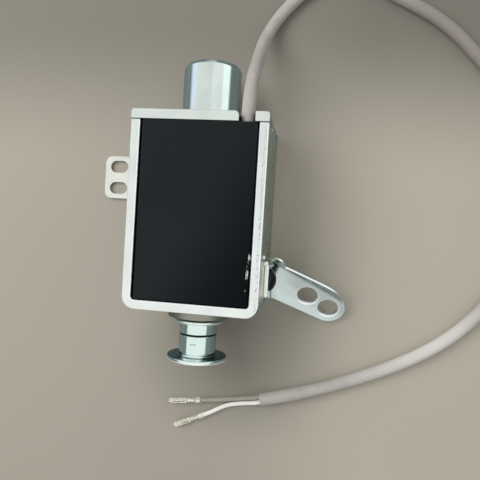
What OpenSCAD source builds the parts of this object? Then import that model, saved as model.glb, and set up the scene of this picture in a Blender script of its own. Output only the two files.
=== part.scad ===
// Push pull solenoid: a bent strip frame round a moulded coil, a sliding plunger whose push rod
// carries a spool-shaped push end, a stamped arm and a slotted ear to mount it by, and a cable.
// It lies on its back. +Z is the front face, +Y the plunger's free end, +X the side of the arm.
// The origin is under the plunger's axis, half-way along the frame, on the flat back.

/* [Frame] */
// Outside width of the bent frame
frame_w = 58; // [56:1:64]
// Length of the frame from the web's outer face to the end plate's outer face
frame_l = 84; // [80:1:92]
// Depth of the frame from back to front
frame_d = 44; // [43:0.5:48]
// Thickness of the frame strip
strip_t = 4; // [3:0.5:5]
// Outside radius of the two bends
bend_r = 5.5; // [4:0.5:7]
// Inside radius of the two bends
bend_in_r = 1; // [0.5:0.25:2]
// Thickness of the end plate
plate_t = 4.3; // [3.5:0.1:5]
// Rounding of the end plate's outer edges
plate_edge_r = 1.6; // [0.8:0.1:2]
// Width of the tenon that stakes each leg into the end plate
tenon_w = 14; // [10:1:18]
// Distance of the cable notch from the plunger's axis
notch_x = 19.8; // [19.2:0.1:20.2]
// Width of the cable notch
notch_w = 6.8; // [6.4:0.2:7.6]
// Depth of the cable notch from the front face
notch_d = 9.6; // [8:0.2:11]

/* [Coil] */
// Thickness of the moulded block in front of and behind the coil
block_wall = 1.4; // [1.2:0.1:2]
// Depth that the bobbin's end flanges stand above the copper winding
winding_drop = 0.8; // [0.4:0.1:1.6]
// Thickness of the bobbin's end flanges
flange_t = 2.4; // [1.6:0.2:3.2]
// Wall of the bobbin's barrel
barrel_t = 1.4; // [1:0.1:2]
// Corner radius of the moulded block round the coil
block_r = 1.8; // [1:0.2:3]
// Gap between the moulded block and each leg
block_gap = 0.1; // [0.05:0.05:0.3]

/* [Plunger] */
// Radius of the plunger
plunger_r = 13; // [12:0.25:13.5]
// How far the plunger stands out of the end plate at rest
plunger_out = 24.3; // [16:0.1:30]
// Chamfer round the plunger's free end
plunger_chamfer = 2; // [0.8:0.1:2.6]
// Stroke of the plunger from rest to its seat
stroke = 8; // [5:0.5:10]
// Length of the plunger's tapered tip
cone_h = 8; // [5:0.5:10]
// Radius of the flat at the end of the tip
cone_r = 6; // [5:0.25:8]
// Wall of the guide tube
tube_t = 0.5; // [0.4:0.1:0.8]

/* [Core and rod] */
// Height of the core's seat above the inside of the web
core_h = 22; // [18:1:28]
// Radius of the core's spigot through the web
spigot_r = 8; // [7:0.25:9]
// Width of the flat rim round the core's conical seat
seat_rim = 0.6; // [0.4:0.1:1]
// Thickness of the brass washer on the seat
shim_t = 0.4; // [0.2:0.1:0.8]
// Radius of the retaining ring under the web
retainer_r = 13.9; // [12:0.1:15]
// Thickness of the retaining ring
retainer_t = 4.4; // [3:0.1:5]
// Radius of the push rod
rod_r = 3; // [2.5:0.25:3.5]
// Length of the push rod inside the plunger
rod_grip = 14; // [10:1:18]
// Outside radius of the rod bush
bush_r = 4.5; // [4.25:0.25:5]
// Length of the rod bush
bush_l = 10; // [8:1:14]

/* [Push end] */
// Radius of the rubber stop cushion
cushion_r = 8; // [7:0.5:10.5]
// Thickness of the rubber stop cushion
cushion_t = 0.8; // [0.6:0.1:2]
// Radius of the stop collar's flange
collar_r = 11; // [10:0.5:12]
// Thickness of the stop collar's flange
collar_t = 1.6; // [1:0.1:2.5]
// Length of the stop collar
collar_l = 6.8; // [5:0.1:9]
// Radius of the spool's barrel
spool_r = 8.4; // [7:0.1:9]
// Chamfer each side of the joint between collar and push head
joint_chamfer = 0.5; // [0.3:0.1:0.8]
// Length of the push head
head_l = 11.6; // [10:0.1:16]
// Radius of the push head's flange
head_r = 13.5; // [12:0.5:15]
// Thickness of the push head's flange
head_t = 1.8; // [1.2:0.1:2.5]
// Fillet under the push head's flange
head_fillet = 0.8; // [0.4:0.1:1.5]
// Chamfer of the flange rims
rim_chamfer = 0.3; // [0.1:0.05:0.5]
// Thickness of metal left below the rod in the push head
head_cap = 3; // [2.5:0.25:4]
// Radius of the cross pin through the push head
pin_r = 1.25; // [0.75:0.25:1.5]
// Distance of the cross pin from the joint
pin_drop = 4.2; // [3:0.1:5]

/* [Arm bracket] */
// Thickness of the arm's sheet
arm_t = 2; // [1.5:0.25:2.5]
// Tilt of the arm about the direction of its screw
arm_tilt = 30; // [22:1:32]
// Inside radius of the arm's bend
arm_bend_r = 0.8; // [0.5:0.1:1.2]
// Distance of the arm's lowest edge from the frame's middle, away from the plunger
arm_low_y = 47.2; // [46:0.2:49]
// Height of the arm's face at its lowest edge
arm_low_z = 3; // [2.8:0.1:5]
// Start of the arm's lower edge, up the slope of the arm
arm_base_v = 11.2; // [10:0.2:13]
// Reach of the outer hole from the arm's base
hole_reach = 27.1; // [25:0.1:30]
// Height of the outer hole up the slope of the arm
hole_v = 7.9; // [7.6:0.1:8.5]
// Distance between the arm's two holes
hole_gap = 11.7; // [11:0.1:13]
// Slant of the line of holes
hole_slant = 33; // [30:1:36]
// Radius of the arm's holes
hole_r = 4.5; // [4:0.05:4.8]
// Radius of the arm's tip round the outer hole
tip_r = 8; // [7.5:0.1:8.4]
// Radius of the arm's nose above the tip
nose_r = 16.5; // [14:0.5:18]
// Start of the lip's fold at the arm's base, up the slope
fold_v = 30.8; // [29:0.2:32]
// Radius of the lip's fold round the outer hole
fold_r = 6.8; // [6.4:0.1:7.2]
// Rise of the lip's outer edge above its fold at the arm's base
lip_rise = 1.3; // [1:0.1:2.2]
// Bend angle of the lip
lip_bend = 42; // [30:1:48]
// Inside radius of the lip's bend
lip_r = 3; // [2:0.25:4]
// Radius of the raised gusset next to the base
gusset_r = 3.2; // [2.6:0.1:3.4]
// Height of the gusset's centre above the fold
gusset_v = 2.2; // [1.6:0.1:3.2]
// Height of the base's front edge above the back face
base_z = 26.5; // [26.5:0.5:30]
// How far the base narrows from its bend to its front edge
base_lean = 2.8; // [0:0.2:4]
// Width of the locating tab on the base
tab_w = 1.7; // [1.4:0.1:2.4]
// Length of the locating tab past the base's front edge
tab_l = 5.5; // [3:0.5:7]
// Distance of the screw from the frame's middle, away from the plunger
screw_y = 27.6; // [27:0.1:29]

/* [Ear bracket] */
// Reach of the slotted ear from the frame's side
ear_reach = 29; // [25:1:34]
// Width of the ear along the frame
ear_w = 21.6; // [20:0.2:26]
// Thickness of the ear's sheet
ear_t = 2; // [1.5:0.25:2.5]
// Inside radius of the ear's bend
ear_bend_r = 1.5; // [1:0.25:2]
// Corner radius of the ear
ear_r = 3.5; // [2:0.25:5]
// Height of the ear's foot up the frame's side
foot_h = 20; // [18:1:26]
// Distance of the ear from the frame's middle, towards the plunger
ear_y = 17; // [10:0.5:22]
// Length of the ear's slots
slot_l = 9; // [7.5:0.25:11]
// Width of the ear's slots
slot_w = 5.8; // [4.5:0.1:6.4]
// Distance between the two slots
slot_gap = 10.8; // [10:0.1:13]
// Distance of the slots from the ear's outer edge
slot_edge = 2.9; // [2.5:0.1:4]
// Distance between the foot's two screws
foot_gap = 11; // [9:0.5:13]

/* [Screws] */
// Shank radius of the arm screw
arm_screw_r = 2.5; // [2:0.25:3]
// Head radius of the arm screw
arm_head_r = 5; // [4.5:0.05:5.1]
// Head height of the arm screw
arm_head_h = 3.2; // [2.6:0.1:3.6]
// Width across the flats of the arm screw's hexagon key
arm_key = 3; // [2.5:0.5:4]
// Shank radius of the foot screws
foot_screw_r = 2; // [1.5:0.25:2.25]
// Head radius of the foot screws
foot_head_r = 3.6; // [3.2:0.1:4]
// Head height of the foot screws
foot_head_h = 2.2; // [1.8:0.1:2.6]
// Width across the flats of the foot screws' hexagon key
foot_key = 2.5; // [2:0.5:3]
// Depth of the hexagon sockets in the screw heads
key_depth = 1.4; // [1:0.1:1.6]
// Radius of the locating pin
peg_r = 1; // [0.75:0.05:1.25]
// Height of the locating pin above the back face
peg_z = 34; // [32:0.5:38]

/* [Cable] */
// Radius of the cable's jacket
cable_r = 2.9; // [2.5:0.1:2.9]
// Radius of the two leads
lead_r = 1; // [0.8:0.05:1]
// Length of the crimped terminals
terminal_l = 16.5; // [14:0.5:19]

/* [Fits] */
// Radial running clearance of plunger and push rod
run_fit = 0.05; // [0.02:0.01:0.09]
// Radial clearance of pieces that are seated for good
seat_fit = 0.03; // [0.01:0.01:0.05]
// Axial gap that stops leave between faces
stop_gap = 0.1; // [0.05:0.05:0.3]

/* [Hidden] */

round_fn = 96;
edge_fn = 32;
cut = 1;                                      // how far a cut runs past the faces it opens

half_w = frame_w / 2;
axis_z = frame_d / 2;
web_out = -frame_l / 2;                       // the faces across the frame, in order along +Y
web_in = web_out + strip_t;
plate_out = frame_l / 2;
plate_in = plate_out - plate_t;
leg_in = half_w - strip_t;

tube_ir = plunger_r + run_fit;
tube_or = tube_ir + tube_t;
barrel_ir = tube_or + seat_fit;
barrel_or = barrel_ir + barrel_t;
flange_r = axis_z - block_wall;
winding_r = flange_r - winding_drop;

spigot_end = web_out - retainer_t;
seat_y = web_in + core_h;
cone_slope = cone_h / (plunger_r - cone_r);
tip_y = seat_y + shim_t + stop_gap + stroke;
plunger_end = plate_out + plunger_out;
collar_top = spigot_end - cushion_t - stop_gap;
joint_y = collar_top - collar_l;
head_end = joint_y - head_l;
rod_low = head_end + head_cap;
rod_high = tip_y + rod_grip;

arm_x = half_w + arm_t;                       // outer face of the arm's base
dip = 0.002;                                  // how far straight edges dip into their arcs
gusset_edge = 0.3;                            // from the base's face to the gusset
lip_root = 0.5;                               // level strip that ties the lip to the floor
arm_hole = [hole_reach, hole_v];
arm_hole_in = arm_hole + hole_gap * [-cos(hole_slant), sin(hole_slant)];
nose_c = arm_hole + [tip_r - nose_r - dip, 0];
arm_base = [arm_bend_r, arm_base_v];
arm_fold = [arm_bend_r, fold_v];
arm_top = [arm_bend_r, fold_v + lip_rise];
fold_slope = touch(arm_fold, arm_hole, fold_r, 1);
gusset_x = gusset_edge + gusset_r;
screw_room = arm_head_r + arm_bend_r + 0.05;  // from the screw's axis to the arm's floor
screw_z = arm_low_z + (arm_low_y - screw_y) * tan(arm_tilt) + screw_room / cos(arm_tilt);
lip_reach = 12;
tab_shift = 2.8;                              // from the bend's upper end to the tab's edge
peg_gap = 0.8;                                // from the tab to the locating pin
relief = 1;                                   // gap that lets the base and the lip fold apart
peg_y = off_arm(fold_v - relief, arm_bend_r)[0] + tab_shift + peg_gap + peg_r;

ear_x = -half_w - ear_t;                      // outer face of the ear's foot
foot_z = (ear_t + ear_bend_r + foot_h) / 2;

// Cable route from the coil block through the notch, down to the surface and round to its end
cable_path = [
    [19.5, 37.7, 38], [19.5, 44, 38], [19.6, 50, 37.4], [19.8, 56, 34.9], [19.8, 61, 31],
    [19.9, 66.5, 25.6], [20, 72.3, 19.7], [20.2, 78, 14.2], [20.8, 83.5, 9.5], [22.2, 88.6, 6.1],
    [24.1, 93.2, 4.1], [26.5, 97.3, 3.2], [29.8, 101.5, 3], [35, 106.8, 3], [41.5, 111.4, 3],
    [51, 114.8, 3], [62, 114.8, 3], [73, 111.4, 3], [83.6, 105.8, 3], [91.4, 101.6, 3],
    [99.4, 96.7, 3], [108.8, 89.2, 3], [119, 78.5, 3], [128.7, 67.2, 3], [136.4, 54.4, 3],
    [141.9, 40.4, 3], [144.7, 25.6, 3], [145, 10.7, 3], [142.7, -4.2, 3], [137.7, -18.6, 3],
    [130.9, -30.9, 3], [121.8, -42.4, 3], [112, -51.6, 3], [101.8, -58.8, 3], [91.4, -64.7, 3],
    [80.8, -69.9, 3], [69.9, -74.6, 3], [58.9, -78.9, 3], [44, -84, 3], [28.7, -88.2, 3]];
lead_pitch = 1.25;                            // each lead's place beside the middle of the jacket
grey_path = [each lead_start(1),
    [25.3, -87.9, 2.8], [22, -88.6, 2.2], [18.5, -89.4, 1.5], [14, -90.3, 1.1],
    [8.5, -91.2, 1.1], [3, -91.9, 1.4], [-1.2, -92.4, 1.4]];
white_path = [each lead_start(-1),
    [26, -90.25, 2.8], [22.5, -91, 2], [18.5, -91.9, 1.3], [14.5, -92.8, 1.1],
    [11.5, -93.9, 1.1], [8.5, -95.4, 1.1], [4.3, -97.8, 1.4], [0.7, -99.5, 1.4]];

function unit(v) = v / norm(v);
function heading(path, i) =
    unit(path[min(i + 1, len(path) - 1)] - path[max(i - 1, 0)]);

// A lead's first two points, square out of the jacket's end face. Side 1 is the plunger's side
function lead_start(side) =
    let (last = len(cable_path) - 1, h = heading(cable_path, last),
         start = cable_path[last] + side * lead_pitch * [h[1], -h[0], 0])
    [start, start + 1.5 * h];

// Angle of the line from point p that touches a circle, side is 1 above it and -1 below
function touch(p, c, r, side) =
    let (d = c - p) atan2(d[1], d[0]) + side * asin(r / norm(d));
// The point where that line touches the circle
function touch_point(p, c, r, side) =
    let (a = touch(p, c, r, side)) c + side * r * [-sin(a), cos(a)];

// A place across the frame (y, z) as seen in the tilted arm's own axes
function on_arm(y, z) =
    let (dy = y + arm_low_y, dz = z - arm_low_z)
    [dy * cos(arm_tilt) + dz * sin(arm_tilt), dz * cos(arm_tilt) - dy * sin(arm_tilt)];
// The same the other way round: height n above the arm's face at v up its slope
function off_arm(v, n) =
    [v * cos(arm_tilt) - n * sin(arm_tilt) - arm_low_y,
     v * sin(arm_tilt) + n * cos(arm_tilt) + arm_low_z];

// Round tube along a path, a ring of sides points at each of the path's points
module tube(path, r, sides) {
    count = len(path);
    rings = [for (i = [0 : count - 1])
        let (t = heading(path, i), s = unit(cross(t, [0, 0, 1])), u = cross(s, t))
        for (k = [0 : sides - 1])
            path[i] + r * (cos(360 * k / sides) * s + sin(360 * k / sides) * u)];
    walls = [for (i = [0 : count - 2], k = [0 : sides - 1])
        let (a = i * sides + k, b = i * sides + (k + 1) % sides)
        each [[a, b, b + sides], [a, b + sides, a + sides]]];
    polyhedron(rings, concat([[for (k = [sides - 1 : -1 : 0]) k]],
                             [[for (k = [0 : sides - 1]) (count - 1) * sides + k]], walls));
}

// Stands its child's Z on the plunger's axis, so that heights become places along Y
module on_axis() {
    translate([0, 0, axis_z]) rotate([-90, 0, 0]) children();
}

// Turned piece on the plunger's axis, from an outline of radius and place along Y
module turned(outline) {
    on_axis() rotate_extrude($fn = round_fn) polygon(outline);
}

module rounded_rect(w, h, r) {
    square([w - 2 * r, h], center = true);
    square([w, h - 2 * r], center = true);
    for (x = [-1, 1], y = [-1, 1])
        translate([x * (w / 2 - r), y * (h / 2 - r)]) circle(r, $fn = edge_fn);
}

// Strip across the frame as seen from the front, its outer edges rounded
module plate_strip(w) {
    translate([-w / 2, 0]) square([w, plate_t - plate_edge_r]);
    translate([-w / 2 + plate_edge_r, 0]) square([w - 2 * plate_edge_r, plate_t]);
    for (side = [-1, 1])
        translate([side * (w / 2 - plate_edge_r), plate_t - plate_edge_r])
            circle(plate_edge_r, $fn = edge_fn);
}

// Hole along Y on the plunger's axis between two places
module axis_hole(r, from, to) {
    on_axis() translate([0, 0, from]) cylinder(r = r, h = to - from, $fn = round_fn);
}

// Cylinder along X from x outwards, side 1 towards +X and -1 towards -X
module side_peg(x, y, z, r, h, side) {
    translate([x, y, z]) rotate([0, side * 90, 0]) cylinder(r = r, h = h, $fn = 48);
}

module u_frame() color("gainsboro") {
    difference() {
        union() {
            linear_extrude(frame_d) difference() {
                union() {
                    translate([-half_w, web_out + bend_r])
                        square([frame_w, plate_in - web_out - bend_r]);
                    translate([-half_w + bend_r, web_out])
                        square([frame_w - 2 * bend_r, bend_r + cut]);
                    for (side = [-1, 1])
                        translate([side * (half_w - bend_r), web_out + bend_r])
                            circle(bend_r, $fn = round_fn);
                }
                translate([-leg_in, web_in + bend_in_r]) square([2 * leg_in, frame_l]);
                translate([-leg_in + bend_in_r, web_in])
                    square([2 * (leg_in - bend_in_r), frame_l]);
                for (side = [-1, 1])
                    translate([side * (leg_in - bend_in_r), web_in + bend_in_r])
                        circle(bend_in_r, $fn = edge_fn);
            }
            translate([0, plate_in, axis_z - tenon_w / 2]) linear_extrude(tenon_w)
                difference() {
                    plate_strip(frame_w);
                    translate([-leg_in, -cut]) square([2 * leg_in, plate_t + 2 * cut]);
                }
        }
        axis_hole(spigot_r + seat_fit, web_out - cut, web_in + cut);
        side_peg(leg_in - cut, -screw_y, screw_z, arm_screw_r + seat_fit, strip_t + 2 * cut, 1);
        side_peg(half_w - strip_t / 2, peg_y, peg_z, peg_r + seat_fit, strip_t, 1);
        for (k = [-0.5, 0.5])
            side_peg(-leg_in + cut, ear_y + k * foot_gap, foot_z, foot_screw_r + seat_fit,
                     strip_t + 2 * cut, -1);
    }
}

module end_plate() color("gainsboro") {
    notch_low = frame_d - notch_d + notch_w / 2;
    difference() {
        union() {
            translate([0, plate_in]) linear_extrude(notch_low) plate_strip(frame_w);
            for (edges = [[-half_w, notch_x - notch_w / 2], [notch_x + notch_w / 2, half_w]])
                translate([(edges[0] + edges[1]) / 2, plate_in, 0]) linear_extrude(frame_d)
                    plate_strip(edges[1] - edges[0]);
        }
        axis_hole(tube_or + seat_fit, plate_in - cut, plate_out + cut);
        translate([notch_x, plate_in - cut, notch_low]) rotate([-90, 0, 0])
            cylinder(r = notch_w / 2, h = plate_t + 2 * cut, $fn = 48);
        for (side = [-1, 1])
            translate([side * (half_w - strip_t / 2 + cut / 2), plate_in + plate_t / 2, axis_z])
                cube([strip_t + cut + 2 * seat_fit, plate_t + 2 * cut, tenon_w + 2 * seat_fit],
                     center = true);
    }
}

module coil_block() color("#16181a") {
    block_x = leg_in - block_gap;
    difference() {
        intersection() {
            translate([0, web_in, axis_z]) rotate([-90, 0, 0])
                linear_extrude(plate_in - web_in)
                    rounded_rect(2 * block_x, frame_d, block_r);
            translate([0, 0, -cut]) linear_extrude(frame_d + 2 * cut)
                polygon([[-block_x + bend_in_r, web_in], [block_x - bend_in_r, web_in],
                         [block_x + cut, web_in + bend_in_r + cut], [block_x + cut, plate_in],
                         [-block_x - cut, plate_in], [-block_x - cut, web_in + bend_in_r + cut]]);
        }
        axis_hole(flange_r + seat_fit, web_in - cut, plate_in + cut);
    }
}

module bobbin() color("#30343a")
    turned([[barrel_ir, web_in], [flange_r, web_in], [flange_r, web_in + flange_t],
            [barrel_or, web_in + flange_t], [barrel_or, plate_in - flange_t],
            [flange_r, plate_in - flange_t], [flange_r, plate_in], [barrel_ir, plate_in]]);

module winding() color("#b5652b")
    turned([[barrel_or, web_in + flange_t], [winding_r, web_in + flange_t],
            [winding_r, plate_in - flange_t], [barrel_or, plate_in - flange_t]]);

module guide_tube() color("#c9a54b")
    turned([[tube_ir, web_in], [tube_or, web_in], [tube_or, plate_out], [tube_ir, plate_out]]);

module fixed_core() color("silver") {
    rim_r = plunger_r - seat_rim;
    rim_y = seat_y + cone_slope * (rim_r - cone_r);
    bore = rod_r + 0.4;
    bush_top = spigot_end + bush_l + seat_fit;
    turned([[bush_r + seat_fit, spigot_end], [spigot_r, spigot_end], [spigot_r, web_in],
            [plunger_r, web_in], [plunger_r, rim_y], [rim_r, rim_y], [cone_r, seat_y],
            [bore, seat_y], [bore, bush_top], [bush_r + seat_fit, bush_top]]);
}

module core_retainer() color("silver")
    turned([[spigot_r + seat_fit, spigot_end], [retainer_r - rim_chamfer, spigot_end],
            [retainer_r, spigot_end + rim_chamfer], [retainer_r, web_out],
            [spigot_r + seat_fit, web_out]]);

module rod_bush() color("#b98a3c")
    turned([[rod_r + run_fit, spigot_end], [bush_r, spigot_end], [bush_r, spigot_end + bush_l],
            [rod_r + run_fit, spigot_end + bush_l]]);

module seat_washer() color("#c9a54b")
    turned([[rod_r + 0.4, seat_y], [cone_r - 0.2, seat_y], [cone_r - 0.2, seat_y + shim_t],
            [rod_r + 0.4, seat_y + shim_t]]);

module plunger() color("#dfe6e4")
    turned([[rod_r + seat_fit, tip_y], [cone_r, tip_y], [plunger_r, tip_y + cone_h],
            [plunger_r, plunger_end - plunger_chamfer],
            [plunger_r - plunger_chamfer, plunger_end], [0, plunger_end],
            [0, rod_high], [rod_r + seat_fit, rod_high]]);

module push_rod() color("silver") {
    difference() {
        turned([[0, rod_low], [rod_r, rod_low], [rod_r, rod_high], [0, rod_high]]);
        cross_pin(seat_fit, 2 * spool_r);
    }
}

module stop_cushion() color("#222222")
    turned([[rod_r + 0.4, spigot_end - cushion_t], [cushion_r, spigot_end - cushion_t],
            [cushion_r, spigot_end], [rod_r + 0.4, spigot_end]]);

module stop_collar() color("#dfe6e4")
    turned([[rod_r + seat_fit, joint_y], [spool_r - joint_chamfer, joint_y],
            [spool_r, joint_y + joint_chamfer], [spool_r, collar_top - collar_t],
            [collar_r - rim_chamfer, collar_top - collar_t],
            [collar_r, collar_top - collar_t + rim_chamfer],
            [collar_r, collar_top - rim_chamfer], [collar_r - rim_chamfer, collar_top],
            [rod_r + seat_fit, collar_top]]);

module push_head() color("#dfe6e4") {
    flange_top = head_end + head_t;
    difference() {
        turned([[0, head_end], [head_r - rim_chamfer, head_end],
                [head_r, head_end + rim_chamfer], [head_r, flange_top - rim_chamfer],
                [head_r - rim_chamfer, flange_top], [spool_r + head_fillet, flange_top],
                [spool_r, flange_top + head_fillet], [spool_r, joint_y - joint_chamfer],
                [spool_r - joint_chamfer, joint_y], [rod_r + seat_fit, joint_y],
                [rod_r + seat_fit, rod_low], [0, rod_low]]);
        cross_pin(seat_fit, 3 * spool_r);
    }
}

// Pin across the push head from front to back, grown by a clearance for its hole
module cross_pin(grow, length) {
    translate([0, joint_y - pin_drop, axis_z])
        cylinder(r = pin_r + grow, h = length, center = true, $fn = 48);
}

module head_pin() color("#c8d0ce") cross_pin(0, 2 * spool_r - 0.8);

// The arm's own axes: X out from the base, Y up its slope, Z off its face
module arm_axes() {
    translate([arm_x, -arm_low_y, arm_low_z]) rotate([arm_tilt, 0, 0]) children();
}

// Outline of the whole arm seen square to its face, lip and gusset included
module arm_outline() {
    low = touch_point(arm_base, arm_hole, tip_r - dip, -1);
    high = touch_point(arm_top, nose_c, nose_r - dip, 1);
    polygon([arm_base, low, arm_hole, nose_c, high, arm_top]);
    translate(arm_hole) circle(tip_r, $fn = round_fn);
    intersection() {
        translate(nose_c) circle(nose_r, $fn = 2 * round_fn);
        polygon([nose_c, nose_c + [nose_r, 0], nose_c + nose_r * [2, 2], high]);
    }
    translate([gusset_x, fold_v + gusset_v]) circle(gusset_r, $fn = 48);
    translate([gusset_edge, fold_v - gusset_r]) square([2 * gusset_r, gusset_v + gusset_r]);
}

// The flat floor of the arm, to just inside the fold of its lip
module arm_floor() {
    low = touch_point(arm_base, arm_hole, tip_r - dip, -1);
    inner_r = fold_r - lip_root / 2;
    polygon([arm_base, low, arm_hole, arm_hole + (inner_r - dip) * [-sin(fold_slope), cos(fold_slope)],
             arm_fold - [0, lip_root / 2 / cos(fold_slope)]]);
    translate(arm_hole) circle(inner_r, $fn = round_fn);
    intersection() {
        translate(arm_hole) circle(tip_r, $fn = round_fn);
        polygon([arm_hole, low, arm_hole + 2 * (low - arm_hole), arm_hole + [2 * tip_r, -2 * tip_r],
                 arm_hole + [2 * tip_r, 0]]);
    }
}

// Section of the lip: its root tapers into the floor, then it curves up to the bend angle
module lip_section() {
    steps = 6;
    out = lip_reach * [cos(lip_bend), sin(lip_bend)];
    top = [for (k = [0 : steps]) let (a = lip_bend * k / steps) lip_r * [sin(a), 1 - cos(a)]];
    under = [for (k = [steps : -1 : 0]) let (a = lip_bend * k / steps)
        [0, lip_r] + (lip_r + arm_t) * [sin(a), -cos(a)]];
    translate([fold_r, 0])
        polygon([[-lip_root, -0.02], each top, top[steps] + out, under[0] + out, each under,
                 [-lip_root, -arm_t + 0.02]]);
}

// The lip runs straight along its fold, then turns round the outer hole
module arm_lip() {
    run = norm(touch_point(arm_fold, arm_hole, fold_r, 1) - arm_fold) + 2 * arm_bend_r + cut;
    intersection() {
        translate([arm_hole[0], arm_hole[1], 0]) rotate([0, 0, fold_slope]) {
            translate([-run, 0, 0]) rotate([90, 0, 90]) linear_extrude(run) lip_section();
            rotate([0, 0, 90])
                rotate_extrude(angle = -94 - fold_slope, $fn = round_fn) lip_section();
        }
        translate([0, 0, -arm_t - cut]) linear_extrude(lip_reach + 2 * cut) arm_outline();
    }
}

// Base of the arm against the frame's side, with its locating tab
module arm_foot() {
    top_v = fold_v - relief;
    low = off_arm(arm_base_v, arm_bend_r);
    tab_y = off_arm(top_v, arm_bend_r)[0] + tab_shift;
    translate([-arm_t, 0, 0]) rotate([90, 0, 90]) linear_extrude(arm_t)
        polygon([[arm_base_v, arm_bend_r], [top_v, arm_bend_r], on_arm(tab_y, base_z),
                 on_arm(tab_y, base_z + tab_l), on_arm(tab_y - tab_w, base_z + tab_l),
                 on_arm(tab_y - tab_w, base_z), on_arm(low[0] + base_lean, base_z)]);
    translate([arm_bend_r, arm_base_v, arm_bend_r]) rotate([-90, 0, 0])
        linear_extrude(top_v - arm_base_v) intersection() {
            difference() {
                circle(arm_bend_r + arm_t, $fn = 64);
                circle(arm_bend_r, $fn = 64);
            }
            translate([-arm_bend_r - arm_t, 0]) square(arm_bend_r + arm_t);
        }
}

module arm_bracket() color("#dbe5e2") {
    difference() {
        arm_axes() difference() {
            union() {
                translate([0, 0, -arm_t]) linear_extrude(arm_t) arm_floor();
                arm_lip();
                arm_foot();
            }
            for (place = [arm_hole, arm_hole_in])
                translate([place[0], place[1], -arm_t - cut])
                    cylinder(r = hole_r, h = arm_t + 2 * cut, $fn = round_fn);
        }
        side_peg(half_w - cut, -screw_y, screw_z, arm_screw_r + 0.25, arm_t + 2 * cut, 1);
    }
}

// Round-headed screw along +Z, seated with the underside of its head at zero
module round_screw(shank_r, shank_l, head_r, head_h, key_w) {
    rim = head_h / 4;
    dome = head_h - rim;
    dome_r = (head_r * head_r + dome * dome) / (2 * dome);
    translate([0, 0, -shank_l]) cylinder(r = shank_r, h = shank_l + rim / 2, $fn = 48);
    difference() {
        intersection() {
            cylinder(r = head_r, h = head_h, $fn = 64);
            translate([0, 0, head_h - dome_r]) sphere(dome_r, $fn = 96);
        }
        translate([0, 0, head_h - key_depth]) cylinder(d = key_w / cos(30), h = 2, $fn = 6);
    }
}

module arm_screw() color("#1c1c1e")
    translate([arm_x, -screw_y, screw_z]) rotate([0, 90, 0])
        round_screw(arm_screw_r, arm_t + strip_t - stop_gap, arm_head_r, arm_head_h,
                     arm_key);

module locating_pin() color("#dbe5e2")
    side_peg(half_w - strip_t / 2, peg_y, peg_z, peg_r, strip_t / 2 + 0.9, 1);

module ear_bracket() color("#d9d9d0") {
    reach = ear_reach - ear_t - ear_bend_r;
    difference() {
        union() {
            translate([ear_x - ear_bend_r - reach, ear_y, 0]) linear_extrude(ear_t) {
                translate([ear_r, -ear_w / 2]) square([reach - ear_r, ear_w]);
                translate([0, -ear_w / 2 + ear_r]) square([reach, ear_w - 2 * ear_r]);
                for (side = [-1, 1])
                    translate([ear_r, side * (ear_w / 2 - ear_r)]) circle(ear_r, $fn = 64);
            }
            translate([ear_x - ear_bend_r, ear_y + ear_w / 2, ear_t + ear_bend_r])
                rotate([90, 0, 0]) linear_extrude(ear_w) intersection() {
                    difference() {
                        circle(ear_bend_r + ear_t, $fn = 64);
                        circle(ear_bend_r, $fn = 64);
                    }
                    translate([0, -ear_bend_r - ear_t]) square(ear_bend_r + ear_t);
                }
            translate([ear_x, ear_y - ear_w / 2, ear_t + ear_bend_r])
                cube([ear_t, ear_w, foot_h - ear_t - ear_bend_r]);
        }
        for (k = [-0.5, 0.5]) {
            translate([-half_w - ear_reach + slot_edge, ear_y + k * slot_gap, -cut])
                linear_extrude(ear_t + 2 * cut) {
                    translate([slot_w / 2, -slot_w / 2]) square([slot_l - slot_w, slot_w]);
                    for (x = [slot_w / 2, slot_l - slot_w / 2])
                        translate([x, 0]) circle(slot_w / 2, $fn = 64);
                }
            side_peg(-half_w + cut, ear_y + k * foot_gap, foot_z, foot_screw_r + 0.25,
                     ear_t + 2 * cut, -1);
        }
    }
}

module foot_screws() color("#c8d0ce")
    for (k = [-0.5, 0.5])
        translate([ear_x, ear_y + k * foot_gap, foot_z]) rotate([0, -90, 0])
            round_screw(foot_screw_r, ear_t + strip_t - stop_gap, foot_head_r, foot_head_h,
                         foot_key);

module cable() color("#b9b7b2") tube(cable_path, cable_r, 10);
module lead_grey() color("#8d8a86") tube(grey_path, lead_r, 8);
module lead_white() color("#eeeeea") tube(white_path, lead_r, 8);

// Crimped contact on the end of a lead: insulation crimp, wire crimp, neck, body and round nose
module terminal(path) {
    last = len(path) - 1;
    way = path[last] - path[last - 1];
    grip_l = 2.8;
    wire_l = 3.2;
    body_w = 2;
    body_l = terminal_l - grip_l - wire_l - 3;
    translate(path[last]) rotate([0, 0, atan2(way[1], way[0])]) {
        rotate([0, 90, 0]) cylinder(r = 1.35, h = grip_l, $fn = edge_fn);
        rotate([0, 90, 0]) cylinder(r = 0.6, h = terminal_l - 2, $fn = edge_fn);
        translate([grip_l + 0.7, 0, 0]) rotate([0, 90, 0])
            cylinder(r = 1, h = wire_l, $fn = edge_fn);
        translate([terminal_l - 2 - body_l, 0, 0]) difference() {
            translate([0, -body_w / 2, -0.9]) cube([body_l, body_w, 1.8]);
            translate([1, -body_w / 2 + 0.35, 0.2]) cube([body_l, body_w - 0.7, 2]);
        }
        translate([terminal_l - 1.1, 0, -0.9]) cylinder(r = 1.1, h = 0.9, $fn = edge_fn);
        translate([terminal_l - 2.5, -0.8, -0.9]) cube([1.5, 1.6, 0.9]);
    }
}

module terminal_grey() color("#d8d2c4") terminal(grey_path);
module terminal_white() color("#d8d2c4") terminal(white_path);

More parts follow.
